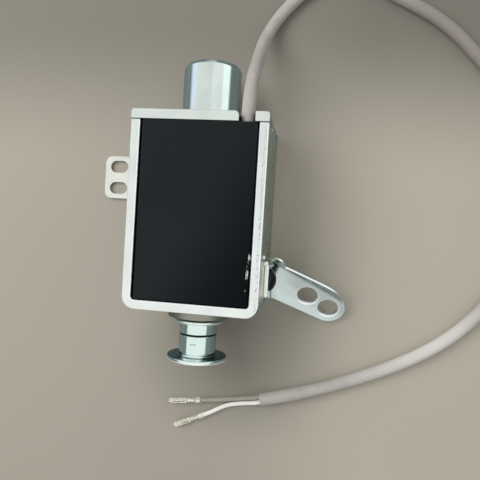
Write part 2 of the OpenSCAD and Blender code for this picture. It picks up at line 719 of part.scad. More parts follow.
u_frame();
end_plate();
coil_block();
bobbin();
winding();
guide_tube();
fixed_core();
core_retainer();
rod_bush();
seat_washer();
plunger();
push_rod();
stop_cushion();
stop_collar();
push_head();
head_pin();
arm_bracket();
arm_screw();
locating_pin();
ear_bracket();
foot_screws();
cable();
lead_grey();
lead_white();
terminal_grey();
terminal_white();
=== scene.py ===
import math

import bpy
import bmesh
import numpy as np
from mathutils import Matrix, Vector
from mathutils.geometry import delaunay_2d_cdt


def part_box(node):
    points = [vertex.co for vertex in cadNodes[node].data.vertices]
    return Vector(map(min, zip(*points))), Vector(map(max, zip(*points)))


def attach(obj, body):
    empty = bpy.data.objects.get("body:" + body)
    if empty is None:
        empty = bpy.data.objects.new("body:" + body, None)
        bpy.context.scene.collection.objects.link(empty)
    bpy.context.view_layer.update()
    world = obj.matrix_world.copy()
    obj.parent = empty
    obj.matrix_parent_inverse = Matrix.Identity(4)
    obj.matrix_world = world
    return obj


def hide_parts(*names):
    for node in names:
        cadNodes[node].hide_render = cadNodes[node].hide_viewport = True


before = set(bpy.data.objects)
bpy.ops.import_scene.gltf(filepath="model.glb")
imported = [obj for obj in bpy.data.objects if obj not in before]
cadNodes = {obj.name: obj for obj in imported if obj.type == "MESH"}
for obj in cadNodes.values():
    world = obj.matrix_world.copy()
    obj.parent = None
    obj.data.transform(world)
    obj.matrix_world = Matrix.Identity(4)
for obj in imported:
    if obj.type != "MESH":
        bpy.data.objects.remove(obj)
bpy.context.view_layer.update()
mm = 0.001
axisHeight = 22
print("frame loaded:", len(cadNodes), "nodes")


def mathsNode(operation, swapped=False):
    # an operator of Wire that adds a Math node
    if swapped:
        return lambda self, other: self.maths(operation, other, self)
    return lambda self, other: self.maths(operation, self, other)


class Wire:
    # one output socket; plain sums on it become Math nodes
    __add__ = __radd__ = mathsNode("ADD")
    __mul__ = __rmul__ = mathsNode("MULTIPLY")
    __sub__, __rsub__ = mathsNode("SUBTRACT"), mathsNode("SUBTRACT", True)
    __truediv__, __pow__ = mathsNode("DIVIDE"), mathsNode("POWER")

    def __init__(self, finish, socket):
        self.finish, self.socket = finish, socket

    def maths(self, operation, *values):
        return self.finish.node("ShaderNodeMath", {"operation": operation}, dict(enumerate(values)))

    def size(self):
        return self.maths("ABSOLUTE", self)

    # 0 below low, 1 above high, a smooth step between
    def step(self, low, high):
        return self.finish.node("ShaderNodeMapRange", {"interpolation_type": "SMOOTHSTEP"},
                                {"Value": self, "From Min": low, "From Max": high})

    # rises from a to b and falls again from c to d
    def band(self, a, b, c, d):
        return self.step(a, b) * self.step(d, c)


class Finish:
    def __init__(self, name, colour, roughness, metallic=0.0, **constants):
        self.material = bpy.data.materials.new(name)
        self.material.use_nodes = True
        self.tree = self.material.node_tree
        self.shader = self.tree.nodes["Principled BSDF"]
        self.feed("Base Color", (*colour, 1.0))
        self.feed("Roughness", roughness)
        self.feed("Metallic", metallic)
        for socket, value in constants.items():
            self.feed(socket.replace("_", " "), value)
        self.bumps = None

    def node(self, kind, settings=None, sockets=None, out=0):
        made = self.tree.nodes.new(kind)
        for key, value in (settings or {}).items():
            if key == "stops":
                ramp = made.color_ramp
                while len(ramp.elements) < len(value):
                    ramp.elements.new(0.5)
                for element, (place, tone) in zip(ramp.elements, value):
                    element.position, element.color = place, (*tone, 1.0)
            else:
                setattr(made, key, value)
        for key, value in (sockets or {}).items():
            self.plug(made.inputs[key], value)
        return Wire(self, made.outputs[out])

    def plug(self, socket, value):
        if isinstance(value, Wire):
            self.tree.links.new(value.socket, socket)
        else:
            socket.default_value = value

    def feed(self, socket, value):
        self.plug(self.shader.inputs[socket], value)

    # noise with features about size metres across, stretched by the factors in stretch
    def noise(self, size, detail=3.0, stretch=(1, 1, 1), rough=0.5):
        where = self.node("ShaderNodeTexCoord", out="Object")
        where = self.node("ShaderNodeMapping", None, {"Vector": where, "Scale": stretch})
        return self.node("ShaderNodeTexNoise", None,
                         {"Vector": where, "Scale": 1 / size, "Detail": detail, "Roughness": rough})

    # the three object coordinates in metres
    def axes(self):
        where = self.node("ShaderNodeTexCoord", out="Object")
        return [self.node("ShaderNodeSeparateXYZ", None, {0: where}, out=k) for k in range(3)]

    # 1 where a piece's mesh marks a rounded rim
    def rim(self):
        return self.node("ShaderNodeAttribute", {"attribute_name": "rim"}, out="Fac")

    def tint(self, factor, first, second, mode="MIX"):
        mix = {"data_type": "RGBA", "blend_type": mode}
        pick = lambda c: c if isinstance(c, Wire) else (*c, 1.0)
        return self.node("ShaderNodeMix", mix, {0: factor, 6: pick(first), 7: pick(second)}, out=2)

    # height in units of depth metres; later calls stack on the earlier ones
    def bump(self, height, depth):
        sockets = {"Distance": depth, "Height": height}
        if self.bumps:
            sockets["Normal"] = self.bumps
        self.bumps = self.node("ShaderNodeBump", None, sockets)
        self.feed("Normal", self.bumps)


def addObject(name, data):
    made = bpy.data.objects.new(name, data)
    bpy.context.scene.collection.objects.link(made)
    return made


def finishMesh(name, points, faces, body, finish, node, smooth=35, rim=None):
    # one mesh from whole arrays; double points merge, and faces turn outwards. rim is a value
    # for each point, which the finish may read
    mesh = bpy.data.meshes.new(name)
    mesh.from_pydata(np.reshape(points, (-1, 3)).tolist(), [], [list(map(int, f)) for f in faces])
    if rim is not None:
        mesh.attributes.new("rim", "FLOAT", "POINT").data.foreach_set("value", np.asarray(rim, np.float32))
    shape = bmesh.new()
    shape.from_mesh(mesh)
    bmesh.ops.remove_doubles(shape, verts=shape.verts, dist=1e-6)
    bmesh.ops.recalc_face_normals(shape, faces=shape.faces)
    shape.to_mesh(mesh)
    shape.free()
    mesh.polygons.foreach_set("use_smooth", [True] * len(mesh.polygons))
    mesh.set_sharp_from_angle(angle=math.radians(smooth))
    piece = addObject(name, mesh)
    mesh.materials.append(finish.material)
    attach(piece, body)
    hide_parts(node)
    return piece


def gridFaces(rows, columns):
    # quads (i, j) (i, j+1) (i+1, j+1) (i+1, j) over rows x columns points, each row a ring
    i, j = np.meshgrid(np.arange(rows - 1), np.arange(columns), indexing="ij")
    k = (j + 1) % columns
    quads = np.stack([i * columns + j, i * columns + k, (i + 1) * columns + k, (i + 1) * columns + j], -1)
    return quads.reshape(-1, 4).tolist()


def evenAngles(count):
    return np.linspace(0, 2 * np.pi, count, endpoint=False)


def around(a):
    # (cos a, sin a)
    return np.stack([np.cos(a), np.sin(a)], -1)


def softCorners(corners, radius, steps):
    # each corner p becomes the quadratic curve (1-t)^2 a + 2t(1-t) p + t^2 b between points
    # a and b that lie radius away from p on its two edges; the two ends stay as they are
    p = np.asarray(corners, float)
    r = np.broadcast_to(radius, len(p))
    before, after = np.roll(p, 1, 0) - p, np.roll(p, -1, 0) - p
    lengthBefore, lengthAfter = [np.maximum(np.linalg.norm(e, axis=1, keepdims=True), 1e-12)
                                 for e in (before, after)]
    reach = np.minimum(np.minimum(lengthBefore, lengthAfter) * 0.49, r[:, None])
    a, b = p + before / lengthBefore * reach, p + after / lengthAfter * reach
    t = np.linspace(0, 1, steps + 1)[None, :, None]
    curve = (1 - t) ** 2 * a[:, None] + 2 * t * (1 - t) * p[:, None] + t ** 2 * b[:, None]
    curve[0], curve[-1] = p[0], p[-1]
    return curve.reshape(-1, p.shape[1])


def ringOf(width, height, radius, steps, centre):
    # rounded rectangle, counter-clockwise: corner centres plus r (cos a, sin a)
    quarter = around(np.linspace(0, np.pi / 2, steps + 1)) * radius
    turn = lambda k: np.array([[np.cos(k), np.sin(k)], [-np.sin(k), np.cos(k)]])
    hw, hh = width / 2 - radius, height / 2 - radius
    middles = [(hw, hh), (-hw, hh), (-hw, -hh), (hw, -hh)]
    parts = [quarter @ turn(q * np.pi / 2) + middles[q] for q in range(4)]
    return np.concatenate(parts) + centre


def circleOf(centre, radius, steps):
    # centre + r (cos a, sin a)
    return around(evenAngles(steps)) * radius + centre


def slotOf(centre, length, width, steps):
    # two half circles of width / 2 whose middles lie length - width apart along x
    half = around(np.linspace(-np.pi / 2, np.pi / 2, steps + 1)) * width / 2 + [(length - width) / 2, 0]
    return np.concatenate([half, -half]) + centre


def filled(rings, ties, inner):
    # triangles that fill a closed outline, the first ring, the others left open as holes. ties
    # are pairs of outline points to be joined by an edge, inner are loose points inside
    starts = np.cumsum([0] + [len(r) for r in rings])
    edges = [np.stack([np.arange(len(r)), np.roll(np.arange(len(r)), -1)], -1) + s
             for r, s in zip(rings, starts)]
    edges = np.concatenate(edges + [np.reshape(ties, (-1, 2)).astype(int)])
    flat = np.concatenate([*rings, np.reshape(inner, (-1, 2))])
    out = delaunay_2d_cdt([Vector(v) for v in flat.tolist()], edges.tolist(), [], 0, 1e-7)
    verts, faces = np.array([tuple(v) for v in out[0]]), np.array(out[2])
    return verts, faces[within(verts[faces].mean(1), rings)]


def within(points, rings):
    # a point is inside when a ray from it crosses the rings an odd number of times
    crossings = np.zeros(len(points), int)
    x, y = points[:, :1], points[:, 1:]
    for ring in rings:
        a, b = ring, np.roll(ring, -1, 0)
        spans = (a[None, :, 1] > y) != (b[None, :, 1] > y)
        part = (y - a[None, :, 1]) / (b[None, :, 1] - a[None, :, 1] + 1e-30)
        cross = a[None, :, 0] + part * (b - a)[None, :, 0]
        crossings += (spans & (x < cross)).sum(1)
    return crossings % 2 == 1


def inwards(ring, edge):
    # for each corner the vector v with v . n1 = e1 and v . n2 = e2, where n1 and n2 are the
    # inward normals of its two edges and e1 and e2 how far those edges move
    way = np.roll(ring, -1, 0) - ring
    way /= np.linalg.norm(way, axis=1, keepdims=True)
    after = np.stack([-way[:, 1], way[:, 0]], -1)
    area = (ring[:, 0] * np.roll(ring[:, 1], -1) - ring[:, 1] * np.roll(ring[:, 0], -1)).sum()
    after *= np.sign(area)
    before = np.roll(after, 1, 0)
    e2 = np.broadcast_to(edge, (len(ring),))
    e1 = np.roll(e2, 1)
    cross = before[:, 0] * after[:, 1] - before[:, 1] * after[:, 0]
    flat = np.abs(cross) < 0.3
    safe = np.where(flat, 1, cross)
    corner = np.stack([e1 * after[:, 1] - e2 * before[:, 1], before[:, 0] * e2 - after[:, 0] * e1], -1)
    # nearly straight corners take the average of both normals and moves
    along = (before + after) / np.linalg.norm(before + after + 1e-12, axis=1, keepdims=True)
    along *= ((e1 + e2) / 2)[:, None]
    return np.where(flat[:, None], along, corner / safe[:, None])


def sheet(outline, holes, thick, lowEdge, highEdge, holeEdge=(0.3, 0.3), ties=(), inner=(), guard=0.06):
    # closed plate in its own flat axes (s, t, n), n from 0 to thick, every edge rounded.
    # at depth d under a face an edge of radius e stands back by e - sqrt(e^2 - (e - d)^2)
    a = np.linspace(0, np.pi / 2, 5)
    depths = lambda *radii: np.unique(np.round([r * (1 - np.sin(a)) for r in radii], 5))
    lowN = depths(*np.unique(lowEdge), holeEdge[0])
    highN = thick - depths(*np.unique(highEdge), holeEdge[1])[::-1]
    back = lambda d, e: np.where(d < e, e - np.sqrt(np.maximum(e ** 2 - (e - d) ** 2, 0)), 0)
    # height n, depth under the face, 0 for the lower face or 1 for the upper, and a step beyond
    levels = [(lowN[0], 0, 0, guard)] + [(n, n, 0, 0) for n in lowN]
    levels += [(n, thick - n, 1, 0) for n in highN] + [(thick, 0, 1, guard)]
    parts, firsts, lasts = [], [], []
    for ring, edges in [(outline, (lowEdge, highEdge))] + [(h, holeEdge) for h in holes]:
        facing = -1 if firsts else 1
        rows = []
        for n, depth, face, beyond in levels:
            moved = ring + facing * inwards(ring, back(depth, edges[face]) + beyond)
            rows.append(np.c_[moved, np.full(len(ring), n)])
        parts.append((np.concatenate(rows), gridFaces(len(rows), len(ring))))
        firsts.append(rows[0])
        lasts.append(rows[-1])
    for rings in (firsts, lasts):
        verts, faces = filled([r[:, :2] for r in rings], ties, inner)
        parts.append((np.c_[verts, np.full(len(verts), rings[0][0, 2])], faces))
    return joined(*parts)


def joined(*parts):
    # several (points, faces) as one
    points, faces, start = [], [], 0
    for p, f in parts:
        points.append(p)
        faces += [[int(v) + start for v in face] for face in f]
        start += len(p)
    return np.concatenate(points), faces


def tubeAlong(path, radius, sides):
    # rings p + r (cos a) side + r (sin a) up, side = tangent x Z, up = side x tangent
    tangent = np.gradient(path, axis=0)
    tangent /= np.linalg.norm(tangent, axis=1, keepdims=True)
    side = np.cross(tangent, [0, 0, 1])
    side /= np.linalg.norm(side, axis=1, keepdims=True)
    up = np.cross(side, tangent)
    a = evenAngles(sides)[None, :, None]
    points = path[:, None] + radius * (np.cos(a) * side[:, None] + np.sin(a) * up[:, None])
    points, faces = points.reshape(-1, 3), gridFaces(len(path), sides)
    last = len(points) - sides
    return points, faces + [list(range(sides)), list(range(last, last + sides))]


def smoothRoute(route, step):
    # Catmull-Rom through the route's points, resampled every step metres along its length
    p = np.concatenate([[2 * route[0] - route[1]], route, [2 * route[-1] - route[-2]]])
    t = np.linspace(0, 1, 24, endpoint=False)[None, :, None]
    a, b, c, d = p[:-3, None], p[1:-2, None], p[2:-1, None], p[3:, None]
    fine = 0.5 * (2 * b + (c - a) * t + (2 * a - 5 * b + 4 * c - d) * t ** 2 + (3 * b - a - 3 * c + d) * t ** 3)
    fine = np.concatenate([fine.reshape(-1, 3), p[-2:-1]])
    run = np.concatenate([[0], np.cumsum(np.linalg.norm(np.diff(fine, axis=0), axis=1))])
    even = np.linspace(0, run[-1], max(2, int(round(run[-1] / step)) + 1))
    return np.stack([np.interp(even, run, fine[:, k]) for k in range(3)], -1), run[-1]


view = {"place": (48.24, -6.70, 235.94), "turn": (-0.01374, 0.14670, 0.06262), "lens": 36.012}
cameraData = bpy.data.cameras.new("camera")
cameraData.lens = view["lens"]
cameraData.sensor_width = 36.0
cameraData.clip_start = 0.005
camera = addObject("camera", cameraData)
turn = Vector(view["turn"])
camera.matrix_world = Matrix.Translation(Vector(view["place"]) * mm) @ Matrix.Rotation(turn.length, 4, turn)
bpy.context.scene.camera = camera
bpy.context.scene.view_settings.view_transform = "Standard"

softKey = {"place": (-340, 190, 470), "aim": (0, 0, 20), "size": (420, 420), "power": 2.1,
           "tone": (1.0, 0.99, 0.97), "mirrored": False}


def addLamp(name, kind):
    lampData = bpy.data.lights.new(name, "AREA")
    lampData.shape = "RECTANGLE"
    lampData.size, lampData.size_y = kind["size"][0] * mm, kind["size"][1] * mm
    lampData.energy = kind["power"]
    lampData.color = kind["tone"]
    lamp = addObject(name, lampData)
    place, aim = Vector(kind["place"]) * mm, Vector(kind["aim"]) * mm
    away = (place - aim).normalized()
    across = Vector((0, 1, 0)).cross(away).normalized()
    up = away.cross(across)
    lamp.matrix_world = Matrix.Translation(place) @ Matrix((across, up, away)).transposed().to_4x4()
    lamp.visible_glossy = kind["mirrored"]


addLamp("softKey", softKey)


class Sky(Finish):
    def __init__(self, name):
        world = bpy.data.worlds.new(name)
        world.use_nodes = True
        self.tree, self.shader = world.node_tree, world.node_tree.nodes["Background"]
        bpy.context.scene.world = world


# a bright ceiling over a dark horizon, with a pale card low on each side of the plunger's
# half and one low in front of the push end. The angle is atan2(x, z) of the direction
skyKind = {
    "upper": [(0.0, (0.33, 0.42, 0.50)), (0.060, (0.42, 0.54, 0.66)), (0.078, (0.97, 1.04, 1.20)),
              (0.200, (0.97, 1.04, 1.20)), (0.218, (0.94, 0.98, 0.94)), (0.530, (0.88, 0.92, 0.89)),
              (0.575, (1.04, 1.06, 1.05)), (0.775, (0.98, 1.01, 1.0)), (0.800, (1.20, 1.34, 1.31)),
              (0.940, (1.20, 1.34, 1.31)), (0.958, (0.66, 0.78, 0.76)), (0.975, (0.58, 0.70, 0.68)),
              (0.990, (0.14, 0.20, 0.20)), (1.0, (0.14, 0.20, 0.20))],
    "lower": [(0.0, (0.15, 0.19, 0.17)), (0.172, (0.17, 0.21, 0.19)), (0.182, (0.96, 1.04, 1.01)),
              (0.5, (1.0, 1.04, 1.02)), (0.862, (0.96, 1.04, 1.01)), (0.872, (0.13, 0.17, 0.16)),
              (1.0, (0.13, 0.17, 0.16))],
    "horizon": (0.20, 0.23, 0.22), "card": (0.70, 0.72, 0.71), "fill": (0.56, 0.55, 0.54),
    "backdrop": (0.40, 0.375, 0.33)}
sky = Sky("room")
toSky = sky.node("ShaderNodeTexCoord", out="Generated")
skyX, skyY, skyZ = [sky.node("ShaderNodeSeparateXYZ", None, {0: toSky}, out=k) for k in range(3)]
skyAngle = skyX.maths("ARCTAN2", skyX, skyZ) / math.pi + 0.5
upperSky, lowerSky = [sky.node("ShaderNodeValToRGB", {"stops": skyKind[part]}, {"Fac": skyAngle})
                      for part in ("upper", "lower")]
ceiling = sky.tint(skyY.step(-0.05, 0.05), lowerSky, upperSky)
ceiling = sky.tint((skyZ + skyY * 0.6).step(0.22, 0.30), skyKind["horizon"], ceiling)
frontCard = (skyY * -1).step(0.62, 0.78) * skyZ.step(0.06, 0.16)
ceiling = sky.tint(frontCard, ceiling, skyKind["card"])
# matt surfaces see an even, dimmer room, and the camera a plain backdrop
seen, mirrored = [sky.node("ShaderNodeLightPath", out=ray) for ray in ("Is Camera Ray", "Is Glossy Ray")]
sky.feed("Color", sky.tint(seen, sky.tint(mirrored, skyKind["fill"], ceiling), skyKind["backdrop"]))
sky.feed("Strength", 1.0)

floorKind = {"colour": (0.440, 0.412, 0.350), "dark": (0.412, 0.384, 0.326), "size": 6.0, "drop": 0.06 * mm,
             "mirror": (0.19, 0.225, 0.225), "mirrorFront": (0.80, 0.82, 0.80), "shadowAt": (0.012, -0.068)}
floorFinish = Finish("floorPaper", floorKind["colour"], 0.9)
floorX, floorY, _ = floorFinish.axes()
paperTone = floorFinish.tint(floorFinish.noise(0.12, 2.0), floorKind["dark"], floorKind["colour"])
# painted light falloff, darker behind and a little paler on the right, and a painted soft shadow round the push
# end
shadeBehind = floorY.step(0.02, 0.10) * (0.42 + floorX.step(0.02, 0.08) * 0.16)
lightOnRight = floorX.step(0.0, 0.09) * 0.26
fromShadow = ((floorX - floorKind["shadowAt"][0]) ** 2 + ((floorY - floorKind["shadowAt"][1]) * 1.15) ** 2) ** 0.5
paperLight = (1 - shadeBehind) * (1 + lightOnRight) * (1 - fromShadow.step(0.062, 0.012) * 0.34)
paper = floorFinish.tint(1.0, paperTone, floorFinish.node(
    "ShaderNodeCombineColor", None, {0: paperLight, 1: paperLight, 2: paperLight}), "MULTIPLY")
# painted reflection: the floor's mirror image in the metal is darker and cooler, and pale in front of the push
# end
mirrorRay = floorFinish.node("ShaderNodeLightPath", out="Is Glossy Ray")
nearFront = floorY.step(-0.072, -0.086) * floorX.size().step(0.060, 0.045)
mirrorTone = floorFinish.tint(nearFront, floorKind["mirror"], floorKind["mirrorFront"])
floorFinish.feed("Base Color", floorFinish.tint(mirrorRay, paper, mirrorTone))
floorFinish.bump(floorFinish.noise(0.0008, 4.0), 0.00002)
floorHalf, floorZ = floorKind["size"] / 2, -floorKind["drop"]
floorMesh = bpy.data.meshes.new("floor")
floorMesh.from_pydata([(x * floorHalf, y * floorHalf, floorZ) for x, y in ((-1, -1), (1, -1), (1, 1), (-1, 1))],
                      [], [(0, 1, 2, 3)])
floorMesh.materials.append(floorFinish.material)
addObject("floor", floorMesh)
print("camera, lamps and floor set")


# highlightWhite is the colour of painted highlights, seamShade of painted shade in seams, darkLine of dark
# joints
highlightWhite, seamShade, darkLine = (1.0, 1.0, 1.0), (0.05, 0.05, 0.05), (0.03, 0.04, 0.04)


def zincFinish(name, kind):
    # bright zinc: fine rolling lines, cloudy tint, a few spots of duller plating
    made = Finish(name, kind["colour"], kind["roughness"], 1.0)
    clouds = made.noise(kind["cloud"], 3.0)
    grain = made.noise(0.0009, 5.0, kind["grain"], 0.6)
    tone = made.tint(clouds.step(0.35, 0.68), kind["colour"], kind["second"])
    spots = made.noise(0.0022, 4.0, rough=0.7).step(0.60, 0.74)
    made.tone = made.tint(spots * 0.16, tone, kind["spot"])
    made.feed("Base Color", made.tone)
    made.rough = (grain - 0.5) * 0.12 + (clouds - 0.5) * 0.14 + spots * 0.12 + kind["roughness"]
    made.feed("Roughness", made.rough)
    made.bump(grain, 0.00003 * kind["line"])
    made.bump(made.noise(0.006, 2.0), 0.00012 * kind["line"])
    return made


zincKind = {"colour": (0.84, 0.85, 0.835), "second": (0.77, 0.785, 0.77), "spot": (0.52, 0.54, 0.52),
            "roughness": 0.28, "cloud": 0.012, "grain": (1, 0.06, 1), "line": 0.35}
zinc = zincFinish("brightZinc", zincKind)
zincAcross = zincFinish("brightZincPlate", {
    **zincKind, "colour": (0.775, 0.80, 0.785), "second": (0.71, 0.735, 0.72), "grain": (0.06, 1, 1)})
zincArm = zincFinish("mintZinc", {
    **zincKind, "colour": (0.74, 0.82, 0.79), "second": (0.68, 0.77, 0.74), "spot": (0.60, 0.68, 0.66),
    "roughness": 0.20, "line": 0.12})
creamZinc = zincFinish("creamZinc", {
    **zincKind, "colour": (0.86, 0.84, 0.78), "second": (0.80, 0.79, 0.74), "roughness": 0.42})
tin = zincFinish("tinnedBrass", {
    **zincKind, "colour": (0.93, 0.89, 0.81), "second": (0.55, 0.50, 0.41), "spot": (0.25, 0.22, 0.18),
    "roughness": 0.38, "cloud": 0.0011})


def turnedFinish(name, colour, roughness, pitch=0.00012, marks=0.00001):
    # fine rings left by the tool: noise stretched round the axis along Y
    made = Finish(name, colour, roughness, 1.0)
    rings = made.noise(pitch, 3.0, (0.02, 1, 0.02), 0.6)
    soft = made.noise(0.01, 2.0)
    made.rough = (rings - 0.5) * 0.14 + (soft - 0.5) * 0.10 + roughness
    made.feed("Roughness", made.rough)
    made.feed("Base Color", made.tint(soft.step(0.3, 0.7), colour, tuple(c * 0.92 for c in colour)))
    made.bump(rings, marks)
    return made


coolSteel = (0.72, 0.82, 0.78)
groundSteel = turnedFinish("groundSteel", (0.70, 0.76, 0.735), 0.12)
turnedSteel = turnedFinish("turnedSteel", coolSteel, 0.12)
headSteel = turnedFinish("headSteel", coolSteel, 0.12)
# dark olive steel: painted shade on the retainer ring under the frame
shadedSteel = turnedFinish("shadedSteel", (0.34, 0.33, 0.27), 0.42)
innerSteel = turnedFinish("innerSteel", (0.60, 0.60, 0.58), 0.35)
brass = turnedFinish("drawnBrass", (0.83, 0.66, 0.32), 0.30)
bronze = turnedFinish("sinteredBronze", (0.72, 0.48, 0.26), 0.50)
copper = turnedFinish("enamelledWire", (0.72, 0.32, 0.13), 0.32, 0.0009, 0.0002)
blackOxide = turnedFinish("blackOxide", (0.035, 0.035, 0.04), 0.34)
screwZinc = turnedFinish("screwZinc", (0.72, 0.74, 0.72), 0.30)

resinKind = {"colour": (0.002, 0.003, 0.004), "dust": (0.16, 0.18, 0.18), "glint": (0.80, 0.80, 0.79),
             "glintX": 0.0255, "glintLean": -0.08, "glintY": (-0.0315, -0.030, -0.0165, -0.0150)}


def resinFinish(k):
    # glossy black resin with dust, a painted glint in a jagged line along the right leg, and painted
    # shade: a duller, darker skin towards the lower right
    made = Finish("castResin", k["colour"], 0.10, 0.0, Specular_IOR_Level=0.27)
    made.feed("Specular Tint", (0.82, 0.95, 1.0, 1.0))
    x, y, _ = made.axes()
    wave = made.noise(0.018, 2.0)
    dust = made.noise(0.0007, 2.0, rough=0.8).step(0.70, 0.76)
    made.feed("Roughness", (wave - 0.5) * 0.1 + dust * 0.3 + 0.14)
    # painted glint: a jagged line of light along the right leg
    line = (x - k["glintX"] + y * k["glintLean"]).size().step(0.00055, 0.00035)
    glints = made.noise(0.0011, 3.0, (1, 0.22, 1), 0.7).step(0.50, 0.54) * line * y.band(*k["glintY"])
    made.feed("Base Color", made.tint(glints, made.tint(dust * 0.3, k["colour"], k["dust"]), k["glint"]))
    made.bump(wave, 0.0001)
    made.bump(made.noise(0.003, 3.0), 0.00005)
    dull = made.node("ShaderNodeBsdfPrincipled", None, {
        "Base Color": (0.003, 0.004, 0.006, 1), "Roughness": 0.35, "Specular IOR Level": 0.05})
    # painted shade: the lower right turns to the darker, duller skin
    shadedLowerRight = (x * 0.9 - y * 0.5).step(-0.006, 0.036) * 0.92 * (1 - glints)
    glossy = Wire(made, made.shader.outputs[0])
    mixed = made.node("ShaderNodeMixShader", None, {0: shadedLowerRight, 1: glossy, 2: dull})
    made.plug(made.tree.nodes["Material Output"].inputs["Surface"], mixed)
    return made


resin = resinFinish(resinKind)

rubber = Finish("blackRubber", (0.03, 0.03, 0.03), 0.7)
rubber.feed("Roughness", rubber.noise(0.001, 4.0) * 0.3 + 0.55)
rubber.bump(rubber.noise(0.0004, 3.0), 0.00003)

nylon = Finish("darkNylon", (0.06, 0.07, 0.08), 0.5)
nylon.feed("Base Color", nylon.tint(nylon.noise(0.004), (0.06, 0.07, 0.08), (0.08, 0.09, 0.10)))
nylon.bump(nylon.noise(0.0005, 3.0), 0.00003)


def plasticFinish(name, first, second, roughness):
    # extruded sheath: cloudy tint and small dull patches
    made = Finish(name, first, roughness)
    patch = made.noise(0.006, 4.0, rough=0.6)
    made.tone = made.tint(patch.step(0.35, 0.7), first, second)
    made.feed("Base Color", made.tone)
    made.feed("Roughness", (patch - 0.5) * 0.25 + roughness)
    made.bump(made.noise(0.0009, 4.0), 0.00004)
    return made


jacket = plasticFinish("greyJacket", (0.50, 0.48, 0.45), (0.44, 0.42, 0.40), 0.42)
# painted light towards the lower right, painted shade towards the top right
jacketX, jacketY, _ = jacket.axes()
jacketLit = jacketX.step(0.05, 0.11) * jacketY.step(-0.025, -0.055)
jacketShade = jacketX.step(0.05, 0.10) * jacketY.step(0.02, 0.06)
litJacketTone = jacket.tint(jacketLit, jacket.tone, (0.74, 0.735, 0.705))
jacket.feed("Base Color", jacket.tint(jacketShade, litJacketTone, (0.30, 0.275, 0.245)))
greyWire = plasticFinish("greyWire", (0.40, 0.38, 0.335), (0.34, 0.32, 0.28), 0.3)
whiteWire = plasticFinish("whiteWire", (0.97, 0.955, 0.91), (0.93, 0.91, 0.86), 0.3)
print("finishes made")

nodeFinishes = {
    "u_frame": zinc, "end_plate": zincAcross, "coil_block": resin, "bobbin": nylon, "winding": copper,
    "guide_tube": brass, "fixed_core": innerSteel, "core_retainer": shadedSteel, "rod_bush": bronze,
    "seat_washer": brass, "plunger": groundSteel, "push_rod": innerSteel, "stop_cushion": rubber,
    "stop_collar": turnedSteel, "push_head": turnedSteel, "head_pin": shadedSteel, "arm_bracket": zincArm,
    "arm_screw": blackOxide, "locating_pin": zinc, "ear_bracket": creamZinc, "foot_screws": screwZinc,
    "cable": jacket, "lead_grey": greyWire, "lead_white": whiteWire, "terminal_grey": tin,
    "terminal_white": tin}
for nodeName, nodeFinish in nodeFinishes.items():
    cadNodes[nodeName].data.materials.clear()
    cadNodes[nodeName].data.materials.append(nodeFinish.material)


cableKind = {"radius": 2.9, "sides": 28, "step": 2.2}
cableRoute = np.array([
    [19.5, 37.7, 38], [19.5, 44, 38], [19.6, 50, 37.4], [19.8, 56, 34.9], [19.8, 61, 31],
    [19.9, 66.5, 25.6], [20, 72.3, 19.7], [20.2, 78, 14.2], [20.8, 83.5, 9.5], [22.2, 88.6, 6.1],
    [24.1, 93.2, 4.1], [26.5, 97.3, 3.2], [29.8, 101.5, 3], [35, 106.8, 3], [41.5, 111.4, 3],
    [51, 114.8, 3], [62, 114.8, 3], [73, 111.4, 3], [83.6, 105.8, 3], [91.4, 101.6, 3],
    [99.4, 96.7, 3], [108.8, 89.2, 3], [119, 78.5, 3], [128.7, 67.2, 3], [136.4, 54.4, 3],
    [141.9, 40.4, 3], [144.7, 25.6, 3], [145, 10.7, 3], [142.7, -4.2, 3], [137.7, -18.6, 3],
    [130.9, -30.9, 3], [121.8, -42.4, 3], [112, -51.6, 3], [101.8, -58.8, 3], [91.4, -64.7, 3],
    [80.8, -69.9, 3], [69.9, -74.6, 3], [58.9, -78.9, 3], [44, -84, 3], [28.7, -88.2, 3]]) * mm
leadKind = {"radius": 1.0, "sides": 20, "step": 0.8, "pitch": 1.25, "straight": 1.5}


def leadRoute(side, points):
    # two points square out of the jacket's end face, then the lead's own. Side 1 is the
    # plunger's side
    out = cableRoute[-1] - cableRoute[-2]
    out /= np.linalg.norm(out)
    start = cableRoute[-1] + side * leadKind["pitch"] * mm * np.array([out[1], -out[0], 0])
    return np.concatenate([[start, start + leadKind["straight"] * mm * out], np.array(points) * mm])


greyRoute = leadRoute(1, [
    [25.3, -87.9, 2.8], [22, -88.6, 2.2], [18.5, -89.4, 1.5], [14, -90.3, 1.1],
    [8.5, -91.2, 1.1], [3, -91.9, 1.4], [-1.2, -92.4, 1.4]])
whiteRoute = leadRoute(-1, [
    [26, -90.25, 2.8], [22.5, -91, 2], [18.5, -91.9, 1.3], [14.5, -92.8, 1.1],
    [11.5, -93.9, 1.1], [8.5, -95.4, 1.1], [4.3, -97.8, 1.4], [0.7, -99.5, 1.4]])


def addCord(name, route, kind, finish, node):
    path, length = smoothRoute(route, kind["step"] * mm)
    points, faces = tubeAlong(path, kind["radius"] * mm, kind["sides"])
    cord = finishMesh(name, points, faces, "housing", finish, node, 50)
    print(name, "length", round(float(length), 4))
    return cord


greyLead = addCord("greyLead", greyRoute, leadKind, greyWire, "lead_grey")
whiteLead = addCord("whiteLead", whiteRoute, leadKind, whiteWire, "lead_white")
jacketCord = addCord("jacketCord", cableRoute, cableKind, jacket, "cable")
# the plunger's side mirrors the lit room past it
jacketCord.visible_glossy = False


